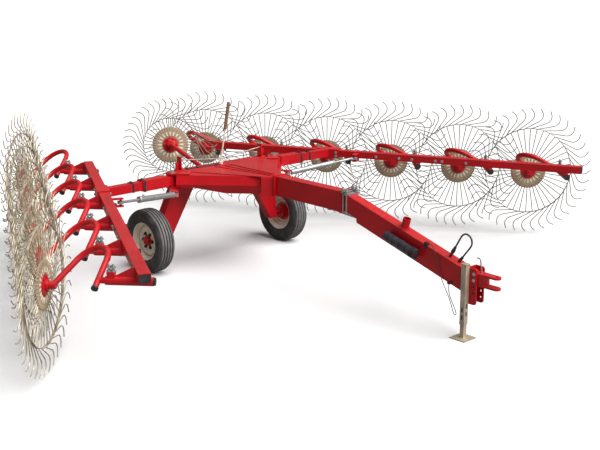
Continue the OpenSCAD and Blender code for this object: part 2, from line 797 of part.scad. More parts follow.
// Side plate of the hitch with rounded front corners and a row of holes for the clevis.
module hitch_plate() {
    difference() {
        hull() {
            cube([10, hitch_t, hitch_h]);
            for (z = [hitch_corner_r, hitch_h - hitch_corner_r])
                translate([hitch_plate_l - hitch_corner_r, 0, z]) rotate([-90, 0, 0])
                    cylinder(r = hitch_corner_r, h = hitch_t);
        }
        for (i = [0:hitch_hole_count - 1])
            translate([hitch_plate_l - hitch_corner_r - 6, -1,
                       hitch_h / 2 + (i - (hitch_hole_count - 1) / 2) * hitch_hole_pitch])
                rotate([-90, 0, 0]) cylinder(r = hitch_hole_r, h = hitch_t + 2);
    }
}

module hitch_head() {
    color(paint) from_axle() {
        translate([bar_end_x, -hitch_in - hitch_t, hitch_low_z])
            cube([flange_t, 2 * hitch_in + 2 * hitch_t, hitch_h]);
        for (y = [-hitch_in - hitch_t, hitch_in]) translate([hitch_x - 2, y, hitch_low_z]) hitch_plate();
    }
}

module hitch_clevis() {
    block_h = clevis_gap + 2 * clevis_t;
    color(paint) from_axle() difference() {
        union() {
            translate([hitch_x + block_back, -hitch_in, clevis_z - block_h / 2])
                cube([block_l, 2 * hitch_in, block_h]);
            for (z = [clevis_z - block_h / 2, clevis_z + clevis_gap / 2]) translate([0, 0, z]) {
                translate([clevis_x, 0, 0]) cylinder(r = clevis_w / 2, h = clevis_t);
                translate([hitch_x + block_back, -clevis_w / 2, 0])
                    cube([clevis_x - hitch_x - block_back, clevis_w, clevis_t]);
            }
        }
        translate([clevis_x, 0, 0]) cylinder(r = clevis_hole_r, h = 2 * clevis_z);
    }
}

// Jack

jack_x = bar_end_x;
jack_y = -bar_w / 2 - jack_w / 2;
jack_in = jack_w - 2 * jack_wall - 2 * seat_gap;
jack_leg_l = 330;

module jack_tube() {
    color(cream) from_axle() translate([jack_x, jack_y, 0]) difference() {
        translate([-jack_w / 2, -jack_w / 2, jack_low_z]) cube([jack_w, jack_w, jack_top_z - jack_low_z]);
        translate([-jack_w / 2 + jack_wall, -jack_w / 2 + jack_wall, jack_low_z - 1])
            cube([jack_w - 2 * jack_wall, jack_w - 2 * jack_wall, jack_top_z - jack_low_z - jack_wall]);
    }
}

module jack_leg() {
    color(cream) from_axle() translate([jack_x, jack_y, 0]) {
        translate([-foot_w / 2, -foot_w / 2, 0]) cube([foot_w, foot_w, foot_t]);
        translate([-jack_in / 2, -jack_in / 2, 0]) cube([jack_in, jack_in, jack_leg_l]);
    }
}

store_x = 2722;
store_r = 38;
store_wall = 7;
store_l = 100;
store_rim = 14;
store_rim_t = 10;

module jack_store() {
    color(paint) from_axle() translate([store_x, 0, bar_top(store_x)]) rotate([0, bar_fall, 0]) difference() {
        union() {
            cylinder(r = store_r, h = store_l);
            cylinder(r = store_r + store_rim, h = store_rim_t);
        }
        translate([0, 0, store_rim_t]) cylinder(r = store_r - store_wall, h = store_l);
    }
}

tube_x = 2585;
tube_l = 385;
tube_r = 45;
tube_drop = 118;
tube_lid_l = 60;
tube_lid_rim = 4;

// Tube for papers on the drawbar's right side, with a screwed lid at its front end.
module document_tube() {
    along = [cos(bar_fall), 0, -sin(bar_fall)];
    start = [tube_x, -bar_w / 2 - tube_r - tube_lid_rim, bar_top(tube_x) - tube_drop];
    color([0.12, 0.12, 0.13]) from_axle() {
        round_bar(start, start + tube_l * along, tube_r);
        round_bar(start + (tube_l - tube_lid_l) * along, start + (tube_l + 6) * along, tube_r + tube_lid_rim);
    }
}

// Routes of the hydraulic hose and of the light cable along their middles, from their clips.
hose_r = 8;
hose_route = [
    [3330, 0, 790], [3346, 0, 818], [3362, 0, 846], [3378, 0, 874], [3395, 0, 902], [3418, 0, 925],
    [3449, 0, 933], [3480, 0, 924], [3503, 0, 902], [3513, 0, 871], [3509, 0, 842], [3493, 0, 815],
    [3473, 0, 789], [3453, 0, 763], [3433, 0, 737], [3413, 0, 711]];
cable_r = 3.5;
cable_route = [
    [3052, -50, 772], [3068, -50, 772], [3084, -50, 772], [3106, -61, 772], [3130, -73, 759], [3150, -75, 735],
    [3166, -75, 705],
    [3178, -75, 670], [3190, -75, 632], [3203, -75, 590], [3217, -75, 550], [3234, -75, 510], [3254, -75, 470],
    [3277, -75, 430], [3302, -75, 391], [3325, -75, 353], [3346, -75, 315], [3365, -75, 275], [3381, -75, 235],
    [3394, -75, 205], [3405, -75, 191], [3419, -75, 190], [3425, -75, 204], [3418, -75, 226], [3404, -75, 254],
    [3388, -75, 281], [3371, -75, 308], [3353, -75, 338], [3339, -75, 370], [3332, -75, 404], [3331, -75, 432],
    [3331, -75, 460]];
cord_sides = 10;
cable_steps = 2;
coupler_l = 140;
coupler_r = 13;
coupler_nut_l = 34;
coupler_nut_r = 18;
gland_l = 90;
gland_r = 14;
top_clip = [40, 28, 60];
clip_rim = 12;
side_clip = [26, 26, 24];

function eased(a, b, c, d, t) =
    (2 * b + (c - a) * t + (2 * a - 5 * b + 4 * c - d) * t * t + (3 * b - a - 3 * c + d) * t * t * t) / 2;
function smooth_route(route, steps) = [
    for (i = [0:len(route) - 2]) for (k = [0:steps - 1])
        eased(route[max(i - 1, 0)], route[i], route[i + 1], route[min(i + 2, len(route) - 1)], k / steps),
    route[len(route) - 1]];

// Round cord along a route, with its ends square to the route.
module cord(route, r) {
    last = len(route) - 1;
    heading = [for (i = [0:last]) unit(route[min(i + 1, last)] - route[max(i - 1, 0)])];
    rings = [for (i = [0:last]) for (k = [0:cord_sides - 1])
        let (across = unit(cross(heading[i], [0, 1, 0])), over = cross(heading[i], across))
            route[i] + r * cos(k * 360 / cord_sides) * across + r * sin(k * 360 / cord_sides) * over];
    walls = [for (i = [0:last - 1]) for (k = [0:cord_sides - 1])
        let (next = (k + 1) % cord_sides)
            [i * cord_sides + k, (i + 1) * cord_sides + k, (i + 1) * cord_sides + next, i * cord_sides + next]];
    caps = [[for (k = [0:cord_sides - 1]) k],
            [for (k = [cord_sides - 1:-1:0]) last * cord_sides + k]];
    polyhedron(rings, concat(walls, caps));
}

module hose() {
    color(black) from_axle() cord(hose_route, hose_r);
}

module cable() {
    color(black) from_axle() cord(smooth_route(cable_route, cable_steps), cable_r);
}

// Coupler and gland of the hose and clips of the cable, all on the drawbar.
module cord_fittings() {
    out = unit(hose_route[1] - hose_route[0]);
    back = unit(hose_route[len(hose_route) - 1] - hose_route[len(hose_route) - 2]);
    hose_end = hose_route[len(hose_route) - 1];
    cable_end = cable_route[len(cable_route) - 1];
    color(steel) from_axle() difference() {
        union() {
            round_bar(hose_route[0] - coupler_l * out, hose_route[0], coupler_r);
            round_bar(hose_route[0] - (coupler_nut_l + 30) * out, hose_route[0] - 30 * out, coupler_nut_r);
            round_bar(hose_end, hose_end + gland_l * back, gland_r);
            translate(cable_route[0] - [top_clip.x, clip_rim, top_clip.z - clip_rim])
                cube(top_clip);
            translate([cable_end.x - side_clip.x / 2, -bar_w / 2 - side_clip.y, cable_end.z]) cube(side_clip);
        }
        rotate([90, 0, 0]) linear_extrude(bar_w, center = true)
            polygon([[tongue_front_x, 0], [tongue_front_x, bar_top_z + seat_gap],
                     [bar_end_x, bar_top(bar_end_x) + seat_gap], [bar_end_x, 0]]);
    }
}

// Transport wheels

module rim(side) {
    half = tyre_w / 2 - 25;
    color(cream) from_axle() on_side(side) translate([-axle_back, track / 2, axle_z]) rotate([-90, 0, 0])
        difference() {
            union() {
                difference() {
                    cylinder(r = rim_r, h = 2 * half, center = true);
                    cylinder(r = rim_r - 8, h = 2 * half + 2, center = true);
                }
                translate([0, 0, -wheel_disc_t / 2]) cylinder(r = rim_r - 4, h = wheel_disc_t);
                translate([0, 0, -60]) cylinder(r = wheel_hub_r, h = 110);
            }
            translate([0, 0, -200]) cylinder(r = spindle_r + run_gap, h = 400);
        }
}

groove_at = [-63, -21, 21, 63];

// Half of the tyre's crown at a distance y from its middle.
function crown(y) = tyre_r - 5 * pow(abs(y) / (tyre_w / 2 - 28), 2);

module tyre(side) {
    half = tyre_w / 2;
    seat = half - 25;
    bead = rim_r + seat_gap;
    tread = [for (y = groove_at) each [
        [crown(y), y - groove_w / 2], [crown(y) - groove_d, y - groove_w / 2 + 2],
        [crown(y) - groove_d, y + groove_w / 2 - 2], [crown(y), y + groove_w / 2]]];
    color(black) from_axle() on_side(side) translate([-axle_back, track / 2, axle_z]) rotate([-90, 0, 0])
        rotate_extrude()
            polygon(concat(
                [[bead, -seat], [bead + 25, -half + 12], [(bead + tyre_r) / 2, -half],
                 [tyre_r - 28, -half + 8], [tyre_r - 5, -half + 28]],
                tread,
                [[tyre_r - 5, half - 28], [tyre_r - 28, half - 8], [(bead + tyre_r) / 2, half],
                 [bead + 25, half - 12], [bead, seat]]));
}

main_frame();
frame_deck();
axle_legs();
wing_pins();
tongue_rear();
tongue_front();
tongue_clamps();
hitch_head();
hitch_clevis();
jack_tube();
jack_leg();
jack_store();
document_tube();
hose();
cable();
cord_fittings();
kicker_arm();
kicker_lever();
kicker_wheel();
for (side = ["left", "right"]) {
    beam(side);
    wing_arm(side);
    stubs(side);
    cranks(side);
    crank_caps(side);
    ram_lug(side);
    ram_barrel(side);
    ram_rod(side);
    rim(side);
    tyre(side);
    for (i = [1:wheel_count])
        rake_wheel(side, i);
}
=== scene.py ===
"""Looks of a carted wheel rake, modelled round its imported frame."""

import json
import math

import bpy
from bpy.props import FloatProperty, FloatVectorProperty, IntProperty, PointerProperty
from mathutils import Matrix, Vector


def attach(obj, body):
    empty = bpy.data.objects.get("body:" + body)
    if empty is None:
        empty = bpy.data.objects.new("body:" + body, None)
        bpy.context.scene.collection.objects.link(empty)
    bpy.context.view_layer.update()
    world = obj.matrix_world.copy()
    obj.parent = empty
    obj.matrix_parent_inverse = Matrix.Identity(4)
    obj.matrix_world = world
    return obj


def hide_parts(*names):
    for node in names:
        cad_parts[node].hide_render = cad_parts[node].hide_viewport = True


bl_info = {
    "name": "Wheel Rake Looks",
    "version": (1, 0, 0),
    "blender": (4, 5, 0),
    "location": "View3D > Sidebar > Wheel Rake",
    "description": "Dresses a carted wheel rake with tined wheels, tyres, hardware and finishes",
    "category": "Object",
}

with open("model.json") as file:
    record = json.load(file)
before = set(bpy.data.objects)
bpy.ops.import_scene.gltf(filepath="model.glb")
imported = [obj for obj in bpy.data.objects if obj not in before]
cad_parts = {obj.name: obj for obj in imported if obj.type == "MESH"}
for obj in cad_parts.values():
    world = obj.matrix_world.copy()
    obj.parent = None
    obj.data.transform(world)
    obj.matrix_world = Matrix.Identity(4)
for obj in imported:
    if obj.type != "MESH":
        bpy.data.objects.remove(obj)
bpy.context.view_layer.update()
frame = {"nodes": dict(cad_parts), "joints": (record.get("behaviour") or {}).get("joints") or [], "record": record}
joints = {joint["name"]: joint for joint in frame["joints"]}

SIDES = {"left": 1, "right": -1}
UP = Vector((0, 0, 1))
WHEELS_PER_WING = sum(name.startswith("left_rake_spin") for name in joints)
FIELD_DUST = (0.62, 0.52, 0.44, 1)
TREAD_DUST = (0.27, 0.26, 0.25, 1)

# Places and routes, measured from the ground under the cross beam's middle
LEVER_FOOT = (0.02, -0.02, 1.07)
LEVER_TOP = (0.02, 0.11, 1.728)
PIN_HANDLE_ROUTE = [(x, 0, z) for x, z in (
    (3.634, 0.612), (3.630, 0.640), (3.622, 0.690), (3.616, 0.725), (3.610, 0.738), (3.598, 0.744),
    (3.580, 0.745))]
HOSE_ROUTE = [(x, 0, z) for x, z in (
    (3.330, 0.790), (3.346, 0.818), (3.362, 0.846), (3.378, 0.874), (3.395, 0.902), (3.418, 0.925),
    (3.449, 0.933), (3.480, 0.924), (3.503, 0.902), (3.513, 0.871), (3.509, 0.842), (3.493, 0.815),
    (3.473, 0.789), (3.453, 0.763), (3.433, 0.737), (3.413, 0.711))]
CABLE_ROUTE = [
    (3.052, -0.050, 0.772), (3.068, -0.050, 0.772), (3.084, -0.050, 0.772),
    (3.106, -0.061, 0.772), (3.130, -0.073, 0.759)]
CABLE_ROUTE += [(x, -0.075, z) for x, z in (
    (3.150, 0.735), (3.166, 0.705), (3.178, 0.670), (3.190, 0.632), (3.203, 0.590), (3.217, 0.550),
    (3.234, 0.510), (3.254, 0.470), (3.277, 0.430), (3.302, 0.391), (3.325, 0.353), (3.346, 0.315),
    (3.365, 0.275), (3.381, 0.235), (3.394, 0.205), (3.405, 0.191), (3.419, 0.190), (3.425, 0.204),
    (3.418, 0.226), (3.404, 0.254), (3.388, 0.281), (3.371, 0.308), (3.353, 0.338), (3.339, 0.370),
    (3.332, 0.404), (3.331, 0.432), (3.331, 0.460))]


# Sizes and colours

def metres(name, description, default):
    return FloatProperty(name=name, description=description, default=default, unit="LENGTH")


def radians(name, description, default):
    return FloatProperty(name=name, description=description, default=default, subtype="ANGLE")


def tint(name, description, default):
    return FloatVectorProperty(name=name, description=description, default=default, subtype="COLOR", size=3)


class RakingWheelSizes(bpy.types.PropertyGroup):
    """Sizes of a raking wheel and of the smaller kicker."""

    tine_count: IntProperty(name="Tines", description="Tines on one wheel", default=40, min=3)
    wire_radius: metres("Wire radius", "Radius of the tine wire", 0.0049)
    ring_radius: metres("Rim radius", "Radius of the rim band", 0.506)
    tip_radius: metres("Tip radius", "Radius to the tips of the tines", 0.75)
    kicker_ring_radius: metres("Kicker rim", "Radius of the kicker's rim band", 0.31)
    kicker_tip_radius: metres("Kicker tips", "Radius to the kicker's tine tips", 0.55)
    ring_width: metres("Rim width", "Width of the rim band", 0.024)
    disc_radius: metres("Disc radius", "Radius of the hub disc", 0.208)
    flange_radius: metres("Flange radius", "Radius of the hub's flange", 0.088)
    tine_run: metres("Tine run", "Straight stretch of a tine outside the rim", 0.195)
    hook_radius: metres("Hook radius", "Radius of a tine's hook", 0.08)
    tine_lift: radians("Tine lift", "Angle of the run off the rim", math.radians(19))
    hook_turn: radians("Hook turn", "Angle that the hook turns through", math.radians(92))


class TransportWheelSizes(bpy.types.PropertyGroup):
    """Sizes of the ribbed tyres and their rims."""

    tyre_radius: metres("Tyre radius", "Outer radius of a tyre", 0.345)
    tyre_width: metres("Tyre width", "Width of a tyre", 0.205)
    rim_radius: metres("Rim radius", "Radius where the tyre seats", 0.203)
    rim_half: metres("Rim half", "Half of the rim's width", 0.078)
    groove_count: IntProperty(name="Grooves", description="Grooves round the tread", default=4, min=1)
    groove_depth: metres("Groove depth", "Depth of a groove", 0.015)
    groove_width: metres("Groove width", "Width of a groove", 0.014)
    stud_count: IntProperty(name="Studs", description="Wheel studs on one hub", default=6, min=3)
    stud_circle: metres("Stud circle", "Radius of the stud circle", 0.08)


class WingSizes(bpy.types.PropertyGroup):
    """Places along the wing beams."""

    beam_width: metres("Beam width", "Width of a beam", 0.1)
    beam_middle: metres("Beam height", "Height of a beam's middle", 0.974)
    beam_ahead: metres("Beam ahead", "Reach of a beam ahead of its first stub", 0.176)
    hub_back: metres("Hub back", "Distance of a hub behind its stub", 0.512)
    hub_out: metres("Hub out", "Distance of a hub outside its beam", 0.718)
    plane_turn: radians("Stub turn", "Angle of a stub off the beam's normal", math.radians(21.2))
    lug_out: metres("Lug out", "Distance of a clamp lug outside the beam's middle", 0.238)
    lug_top: metres("Lug top", "Height of a clamp lug's top", 0.98)
    arm_back: metres("Arm back", "Distance of the wing arm behind a beam's front end", 2.948)
    clamp_face: metres("Clamp face", "Distance of the clamp's face from the beam's middle", 0.064)
    arm_middle: metres("Arm height", "Height of a wing arm's middle", 0.985)
    arm_half: metres("Arm half", "Half of a wing arm's side", 0.045)
    sleeve_half: metres("Sleeve half", "Half of the arm sleeve's side", 0.056)
    sleeve_end: metres("Sleeve end", "Distance of the sleeve's end from the pivot", 0.404)
    cylinder_length: metres("Cylinder", "Distance from the base pin to the barrel's end", 0.605)
    cylinder_radius: metres("Cylinder radius", "Radius of the barrel", 0.03)


class DrawbarSizes(bpy.types.PropertyGroup):
    """Sizes of the frame and the drawbar, measured from the ground under the cross beam's middle."""

    axle_back: metres("Axle back", "Distance of the spindles behind the cross beam", 0.045)
    cross_top: metres("Cross beam", "Height of the cross beam's top", 1.05)
    bracket_out: metres("Bracket out", "Distance of a bracket from the middle", 0.585)
    deck_top: metres("Deck", "Height of the deck", 1.058)
    bar_half: metres("Bar half", "Half of the drawbar's width", 0.06)
    front_x: metres("Front bar", "Rear end of the front drawbar", 1.953)
    front_top: metres("Front top", "Height of the front drawbar's rear end", 1.072)
    bar_fall: radians("Bar fall", "Angle of the front drawbar", math.radians(16.1))
    bar_end: metres("Bar end", "Front end of the drawbar", 3.52)
    hitch_hole_x: metres("Hitch holes", "Place of the hitch's row of holes", 3.594)
    hitch_low: metres("Lowest hole", "Height of the hitch's lowest hole", 0.376)
    hitch_pitch: metres("Hole pitch", "Distance between the hitch's holes", 0.058)
    jack_half: metres("Jack half", "Half of the jack's side", 0.026)
    jack_top: metres("Jack top", "Height of the jack's top", 0.685)
    tube_x: metres("Tube", "Rear end of the papers' tube", 2.585)
    tube_drop: metres("Tube drop", "Depth of the tube's middle under the bar's top", 0.118)
    tube_length: metres("Tube length", "Length of the papers' tube", 0.385)
    tube_radius: metres("Tube radius", "Radius of the papers' tube", 0.045)


class Colours(bpy.types.PropertyGroup):
    """Colours of the finishes."""

    red: tint("Red paint", "Frame, wings and drawbar", (0.55, 0.004, 0.010))
    tan: tint("Tan paint", "Pressed teeth of the hub discs", (0.80, 0.71, 0.54))
    # A darker brown than the tan teeth: painted shade on the disc and its ribs, between and round the teeth
    brown: tint("Brown paint", "Hub discs of the raking wheels", (0.40, 0.30, 0.20))
    grip: tint("Grip", "Grip of the lever", (0.25, 0.13, 0.075))
    cream: tint("Cream paint", "Rims of the transport wheels", (0.90, 0.83, 0.71))
    wire: tint("Tine wire", "Tines of the right wing", (0.50, 0.445, 0.34))
    # A darker copy of the tine wire: painted shade for the wheels that are seen from their shaded side
    shaded_wire: tint("Dull wire", "Tines of the left wing and the kicker", (0.28, 0.26, 0.22))
    zinc: tint("Zinc", "Bolts, nuts and cylinders", (0.50, 0.51, 0.50))
    chromate: tint("Yellow zinc", "Plating of the jack", (0.60, 0.51, 0.38))
    rubber: tint("Rubber", "Tyres", (0.026, 0.026, 0.028))
    black: tint("Black plastic", "Caps, hoses and fittings", (0.018, 0.018, 0.02))
    grey: tint("Grey plastic", "Papers' tube", (0.035, 0.031, 0.042))
    floor: tint("Floor", "Floor as the camera sees it", (0.95, 0.95, 0.95))
    bounce: tint("Bounce", "Floor as it lights the rake from below", (0.30, 0.29, 0.28))


class StageSizes(bpy.types.PropertyGroup):
    """Camera and lamps."""

    camera_place: FloatVectorProperty(name="Camera", description="Place of the camera", subtype="TRANSLATION",
                                      size=3, default=(8.608, -7.410, 3.475))
    camera_yaw: radians("Yaw", "Heading of the camera", 2.394)
    camera_fall: radians("Fall", "Angle that the camera looks down", 0.258)
    lens: FloatProperty(name="Lens", description="Focal length on a 36 mm sensor", default=65.58,
                        unit="CAMERA")
    sky_strength: FloatProperty(name="Sky", description="Strength of the even light", default=0.15)
    sun_strength: FloatProperty(name="Sun", description="Strength of the broad lamp above", default=4.5)
    sun_spread: radians("Sun spread", "Angle that the broad lamp fills", math.radians(62))
    sun_aim: FloatVectorProperty(name="Sun aim", description="Way that the light falls", subtype="DIRECTION",
                                 size=3, default=(-0.74, -0.22, -1.0))


# Finishes

class Shade:
    """An output socket that takes part in Python expressions and adds nodes beside itself."""

    def __init__(self, tree, output=None):
        self.tree = tree
        self.output = output

    def node(self, kind, settings=None, sockets=None, result=0):
        """Adds a node, sets its settings, then fills its sockets with values or links."""
        made = self.tree.nodes.new(kind)
        for name, value in (settings or {}).items():
            setattr(made, name, value)
        for name, value in (sockets or {}).items():
            if isinstance(value, Shade):
                self.tree.links.new(value.output, made.inputs[name])
            else:
                made.inputs[name].default_value = value
        return Shade(self.tree, made.outputs[result])

    def _math(self, operation, first, second):
        return self.node("ShaderNodeMath", {"operation": operation}, {0: first, 1: second})

    def __add__(self, other):
        return self._math("ADD", self, other)

    def __sub__(self, other):
        return self._math("SUBTRACT", self, other)

    def __rsub__(self, other):
        return self._math("SUBTRACT", other, self)

    def __mul__(self, other):
        return self._math("MULTIPLY", self, other)

    __radd__ = __add__
    __rmul__ = __mul__

    def above(self, edge, softness):
        """0 below the edge and 1 above it, with a soft step."""
        return self.node("ShaderNodeMapRange", {"interpolation_type": "SMOOTHSTEP"},
                         {"Value": self, "From Min": edge - softness, "From Max": edge + softness})

    def speckle(self, scale, detail=3.0, roughness=0.55):
        """Noise over the places that this socket gives."""
        return self.node("ShaderNodeTexNoise", None,
                         {"Vector": self, "Scale": scale, "Detail": detail, "Roughness": roughness}, "Fac")

    def blend(self, low, high):
        """From the low colour, where this is 0, to the high one, where it is 1."""
        return self.node("ShaderNodeMix", {"data_type": "RGBA"}, {"Factor": self, "A": low, "B": high}, 2)

    def bump(self, strength, distance):
        return self.node("ShaderNodeBump", None,
                         {"Height": self, "Strength": strength, "Distance": distance}, "Normal")

    def upward(self):
        """How far the surface faces up, from -1 to 1."""
        normal = self.node("ShaderNodeNewGeometry", result="Normal")
        return self.node("ShaderNodeSeparateXYZ", None, {"Vector": normal}, "Z")


def rgba(colour, gain=1.0):
    return tuple(min(c * gain, 1.0) for c in colour) + (1.0,)


def start_finish(name):
    """A new material, its shader and its object coordinates."""
    material = bpy.data.materials.new(name)
    material.use_nodes = True
    place = Shade(material.node_tree).node("ShaderNodeTexCoord", result="Object")
    return material, material.node_tree.nodes["Principled BSDF"], place


def feed(shader, **links):
    """Links values over the surface to the shader's sockets, written with underscores for spaces."""
    for name, value in links.items():
        value.tree.links.new(value.output, shader.inputs[name.replace("_", " ")])


def paint_finish(name, colour, roughness=0.3, dust=0.1, coat=0.12):
    """Sprayed enamel: cloudy colour, orange peel, settled dust and small chips."""
    material, shader, place = start_finish(name)
    cloud = place.speckle(2.6)
    fine = place.speckle(38.0, 5.0, 0.7)
    peel = place.speckle(420.0, 1.0)
    settled = place.upward().above(0.75, 0.3) * fine.above(0.52, 0.2) * dust
    chips = place.speckle(75.0, 6.0, 0.75).above(0.735, 0.015)
    base = cloud.above(0.5, 0.25).blend(rgba(colour, 0.84), rgba(colour, 1.12))
    dusty = settled.blend(base, FIELD_DUST)
    feed(shader, Base_Color=(chips * 0.55).blend(dusty, rgba(colour, 0.35)),
         Roughness=fine * 0.16 + roughness + settled * 0.5 + chips * 0.2,
         Coat_Weight=(1 - settled) * coat,
         Normal=(peel + chips * -0.6).bump(0.12, 0.0006))
    shader.inputs["Coat Roughness"].default_value = 0.12
    shader.inputs["Specular IOR Level"].default_value = 0.32
    return material


def wire_finish(name, colour):
    """Spring steel with a thin brown bloom."""
    material, shader, place = start_finish(name)
    bloom = place.speckle(9.0, 4.0, 0.65).above(0.52, 0.14)
    grain = place.speckle(260.0)
    brown = (colour[0] * 0.55, colour[1] * 0.48, colour[2] * 0.4, 1)
    feed(shader, Base_Color=bloom.blend(rgba(colour, 1.35), brown),
         Roughness=grain * 0.2 + bloom * 0.15 + 0.36,
         Metallic=0.5 - bloom * 0.25, Normal=grain.bump(0.15, 0.0004))
    return material


def plated_finish(name, colour, roughness=0.3, metallic=0.85):
    """Plated steel with spangle and dull patches."""
    material, shader, place = start_finish(name)
    spangle = place.node("ShaderNodeTexVoronoi", None, {"Vector": place, "Scale": 90.0}, "Distance")
    dull = place.speckle(14.0, 4.0).above(0.5, 0.2)
    feed(shader, Base_Color=dull.blend(rgba(colour, 1.1), rgba(colour, 0.72)),
         Roughness=spangle * 0.16 + dull * 0.14 + roughness,
         Metallic=metallic - dull * 0.12, Normal=spangle.bump(0.06, 0.0005))
    return material


def rubber_finish(name, colour, tyre_radius):
    """Tyre rubber with a fine grain, and dust on the ribs of the tread."""
    material, shader, place = start_finish(name)
    cloud = place.speckle(11.0, 5.0, 0.62)
    grain = place.speckle(340.0, 2.0)
    axle = joints["left_wheel_spin"]["pos_m"]
    flat = place.node("ShaderNodeVectorMath", {"operation": "MULTIPLY"}, {0: place, 1: (1, 0, 1)}, "Vector")
    reach = place.node("ShaderNodeVectorMath", {"operation": "DISTANCE"},
                       {0: flat, 1: (axle[0], 0, axle[2])}, "Value")
    dust = cloud.above(0.5, 0.2) * 0.2 + reach.above(tyre_radius - 0.01, 0.003) * (cloud * 0.5 + 0.25)
    feed(shader, Base_Color=dust.blend(rgba(colour), TREAD_DUST),
         Roughness=cloud * 0.16 + 0.56 + dust * 0.2,
         Normal=(grain + cloud * 0.4).bump(0.2, 0.0008))
    return material


def plastic_finish(name, colour, roughness=0.42):
    """Moulded plastic or hose cover with a fine grain and rubbed patches."""
    material, shader, place = start_finish(name)
    rub = place.speckle(24.0, 4.0).above(0.55, 0.15)
    grain = place.speckle(300.0, 2.0)
    pale = tuple(c * 0.7 + 0.05 for c in colour) + (1,)
    feed(shader, Base_Color=(rub * 0.5).blend(rgba(colour), pale),
         Roughness=grain * 0.12 + rub * 0.14 + roughness,
         Normal=grain.bump(0.18, 0.0004))
    return material


finishes = {}


def make_finishes(colours, tyre_radius):
    """Mixes every finish once, under the record's slot names where there is one."""
    finishes.update(
        red_paint=paint_finish("red_enamel", colours.red),
        tan_paint=paint_finish("tan_enamel", colours.tan, 0.42, 0.3, 0.1),
        # Darker brown than the tan teeth, as painted shade on the hub disc between and round its teeth
        brown_paint=paint_finish("brown_enamel", colours.brown, 0.46, 0.4, 0.05),
        grip=plastic_finish("lever_grip", colours.grip, 0.5),
        grey_plastic=plastic_finish("grey_plastic", colours.grey, 0.26),
        cream_paint=paint_finish("cream_enamel", colours.cream, 0.36, 0.25, 0.2),
        tine_steel=wire_finish("spring_steel", colours.wire),
        # Darker copy of the spring steel: painted shade on the tines of the left wing and the kicker
        dull_steel=wire_finish("dull_spring_steel", colours.shaded_wire),
        bright_steel=plated_finish("zinc_plate", colours.zinc),
        yellow_zinc=plated_finish("yellow_zinc_plate", colours.chromate, 0.42, 0.45),
        rubber=rubber_finish("tyre_rubber", colours.rubber, tyre_radius),
        black_plastic=plastic_finish("black_plastic", colours.black),
    )


# Modelling

def let_go():
    """Back to object mode with nothing selected."""
    if bpy.context.mode != "OBJECT":
        bpy.ops.object.mode_set(mode="OBJECT")
    bpy.ops.object.select_all(action="DESELECT")


def take(piece):
    """Selects one piece alone and makes it active."""
    let_go()
    piece.select_set(True)
    bpy.context.view_layer.objects.active = piece


def give_name(piece, name):
    """Names a piece and its mesh alike."""
    piece.name = name
    piece.data.name = name
    return piece


def named(name):
    """Names the piece that was just added and applies its place and size."""
    bpy.ops.object.transform_apply(location=True, rotation=True, scale=True)
    return give_name(bpy.context.object, name)


def edit_all():
    """Edit mode with the whole mesh selected."""
    bpy.ops.object.mode_set(mode="EDIT")
    bpy.ops.mesh.select_all(action="SELECT")


def smooth(piece, angle=35):
    """Shades a piece smooth, with edges kept where faces meet at more than an angle in degrees."""
    take(piece)
    bpy.ops.object.shade_smooth_by_angle(angle=math.radians(angle))
    return piece


def turned(name, rings, sides=48, closed=False):
    """A turned form: a circle extruded from ring to ring of (radius, height) along Z."""
    let_go()
    radius, height = rings[0]
    bpy.ops.mesh.primitive_circle_add(vertices=sides, radius=radius, location=(0, 0, height))
    piece = named(name)
    edit_all()
    for (radius, height), (next_radius, next_height) in zip(rings, rings[1:]):
        grow = next_radius / radius
        bpy.ops.mesh.extrude_edges_move(TRANSFORM_OT_translate={"value": (0, 0, next_height - height)})
        bpy.ops.transform.resize(value=(grow, grow, 1), center_override=(0, 0, next_height))
    bpy.ops.mesh.select_all(action="SELECT")
    if closed:
        bpy.ops.mesh.remove_doubles(threshold=1e-5)
    else:
        bpy.ops.mesh.fill_holes(sides=0)
    bpy.ops.mesh.select_all(action="SELECT")
    bpy.ops.mesh.normals_make_consistent(inside=False)
    return smooth(piece)


def outline(side, middle=()):
    """Closed outline of the rings on one side of Z = 0, the rings between, and the side's mirror image."""
    low = [(radius, -height) for radius, height in side]
    return [*low, *middle, *side[::-1], low[0]]


def block(name, size, place=(0, 0, 0), edge=0.002):
    """A box with softened edges."""
    let_go()
    bpy.ops.mesh.primitive_cube_add(size=1, location=place, scale=size)
    piece = named(name)
    edit_all()
    bpy.ops.mesh.bevel(offset=edge, segments=2, affect="EDGES")
    return smooth(piece)


def wire(name, points, radius, roundness=1):
    """A round wire along points, as a mesh."""
    let_go()
    curve = bpy.data.curves.new(name, "CURVE")
    curve.dimensions = "3D"
    curve.bevel_depth = radius
    curve.bevel_resolution = roundness
    curve.use_fill_caps = True
    spline = curve.splines.new("POLY")
    spline.points.add(len(points) - 1)
    for point, place in zip(spline.points, points):
        point.co = (*place, 1)
    piece = bpy.data.objects.new(name, curve)
    bpy.context.collection.objects.link(piece)
    take(piece)
    bpy.ops.object.convert(target="MESH")
    return smooth(bpy.context.object, 50)


def repeated(piece, count):
    """Spins copies of the whole mesh round the Z axis."""
    take(piece)
    edit_all()
    bpy.ops.mesh.spin(steps=count - 1, dupli=True, angle=2 * math.pi * (count - 1) / count,
                      center=(0, 0, 0), axis=(0, 0, 1))
    bpy.ops.object.mode_set(mode="OBJECT")
    return piece


def joined(name, parts):
    let_go()
    for part in parts:
        part.select_set(True)
    bpy.context.view_layer.objects.active = parts[0]
    bpy.ops.object.join()
    return give_name(bpy.context.object, name)


def placed(piece, matrix):
    """Moves a piece's mesh, so that its origin stays at the frame's."""
    piece.data.transform(matrix)
    return piece


def copied(piece, name, matrix):
    """A copy with its own mesh, set in place by a matrix; a mirrored one keeps its faces outwards."""
    copy = piece.copy()
    copy.data = piece.data.copy()
    give_name(copy, name)
    bpy.context.collection.objects.link(copy)
    copy.data.transform(matrix)
    if matrix.determinant() < 0:
        copy.data.flip_normals()
    return copy


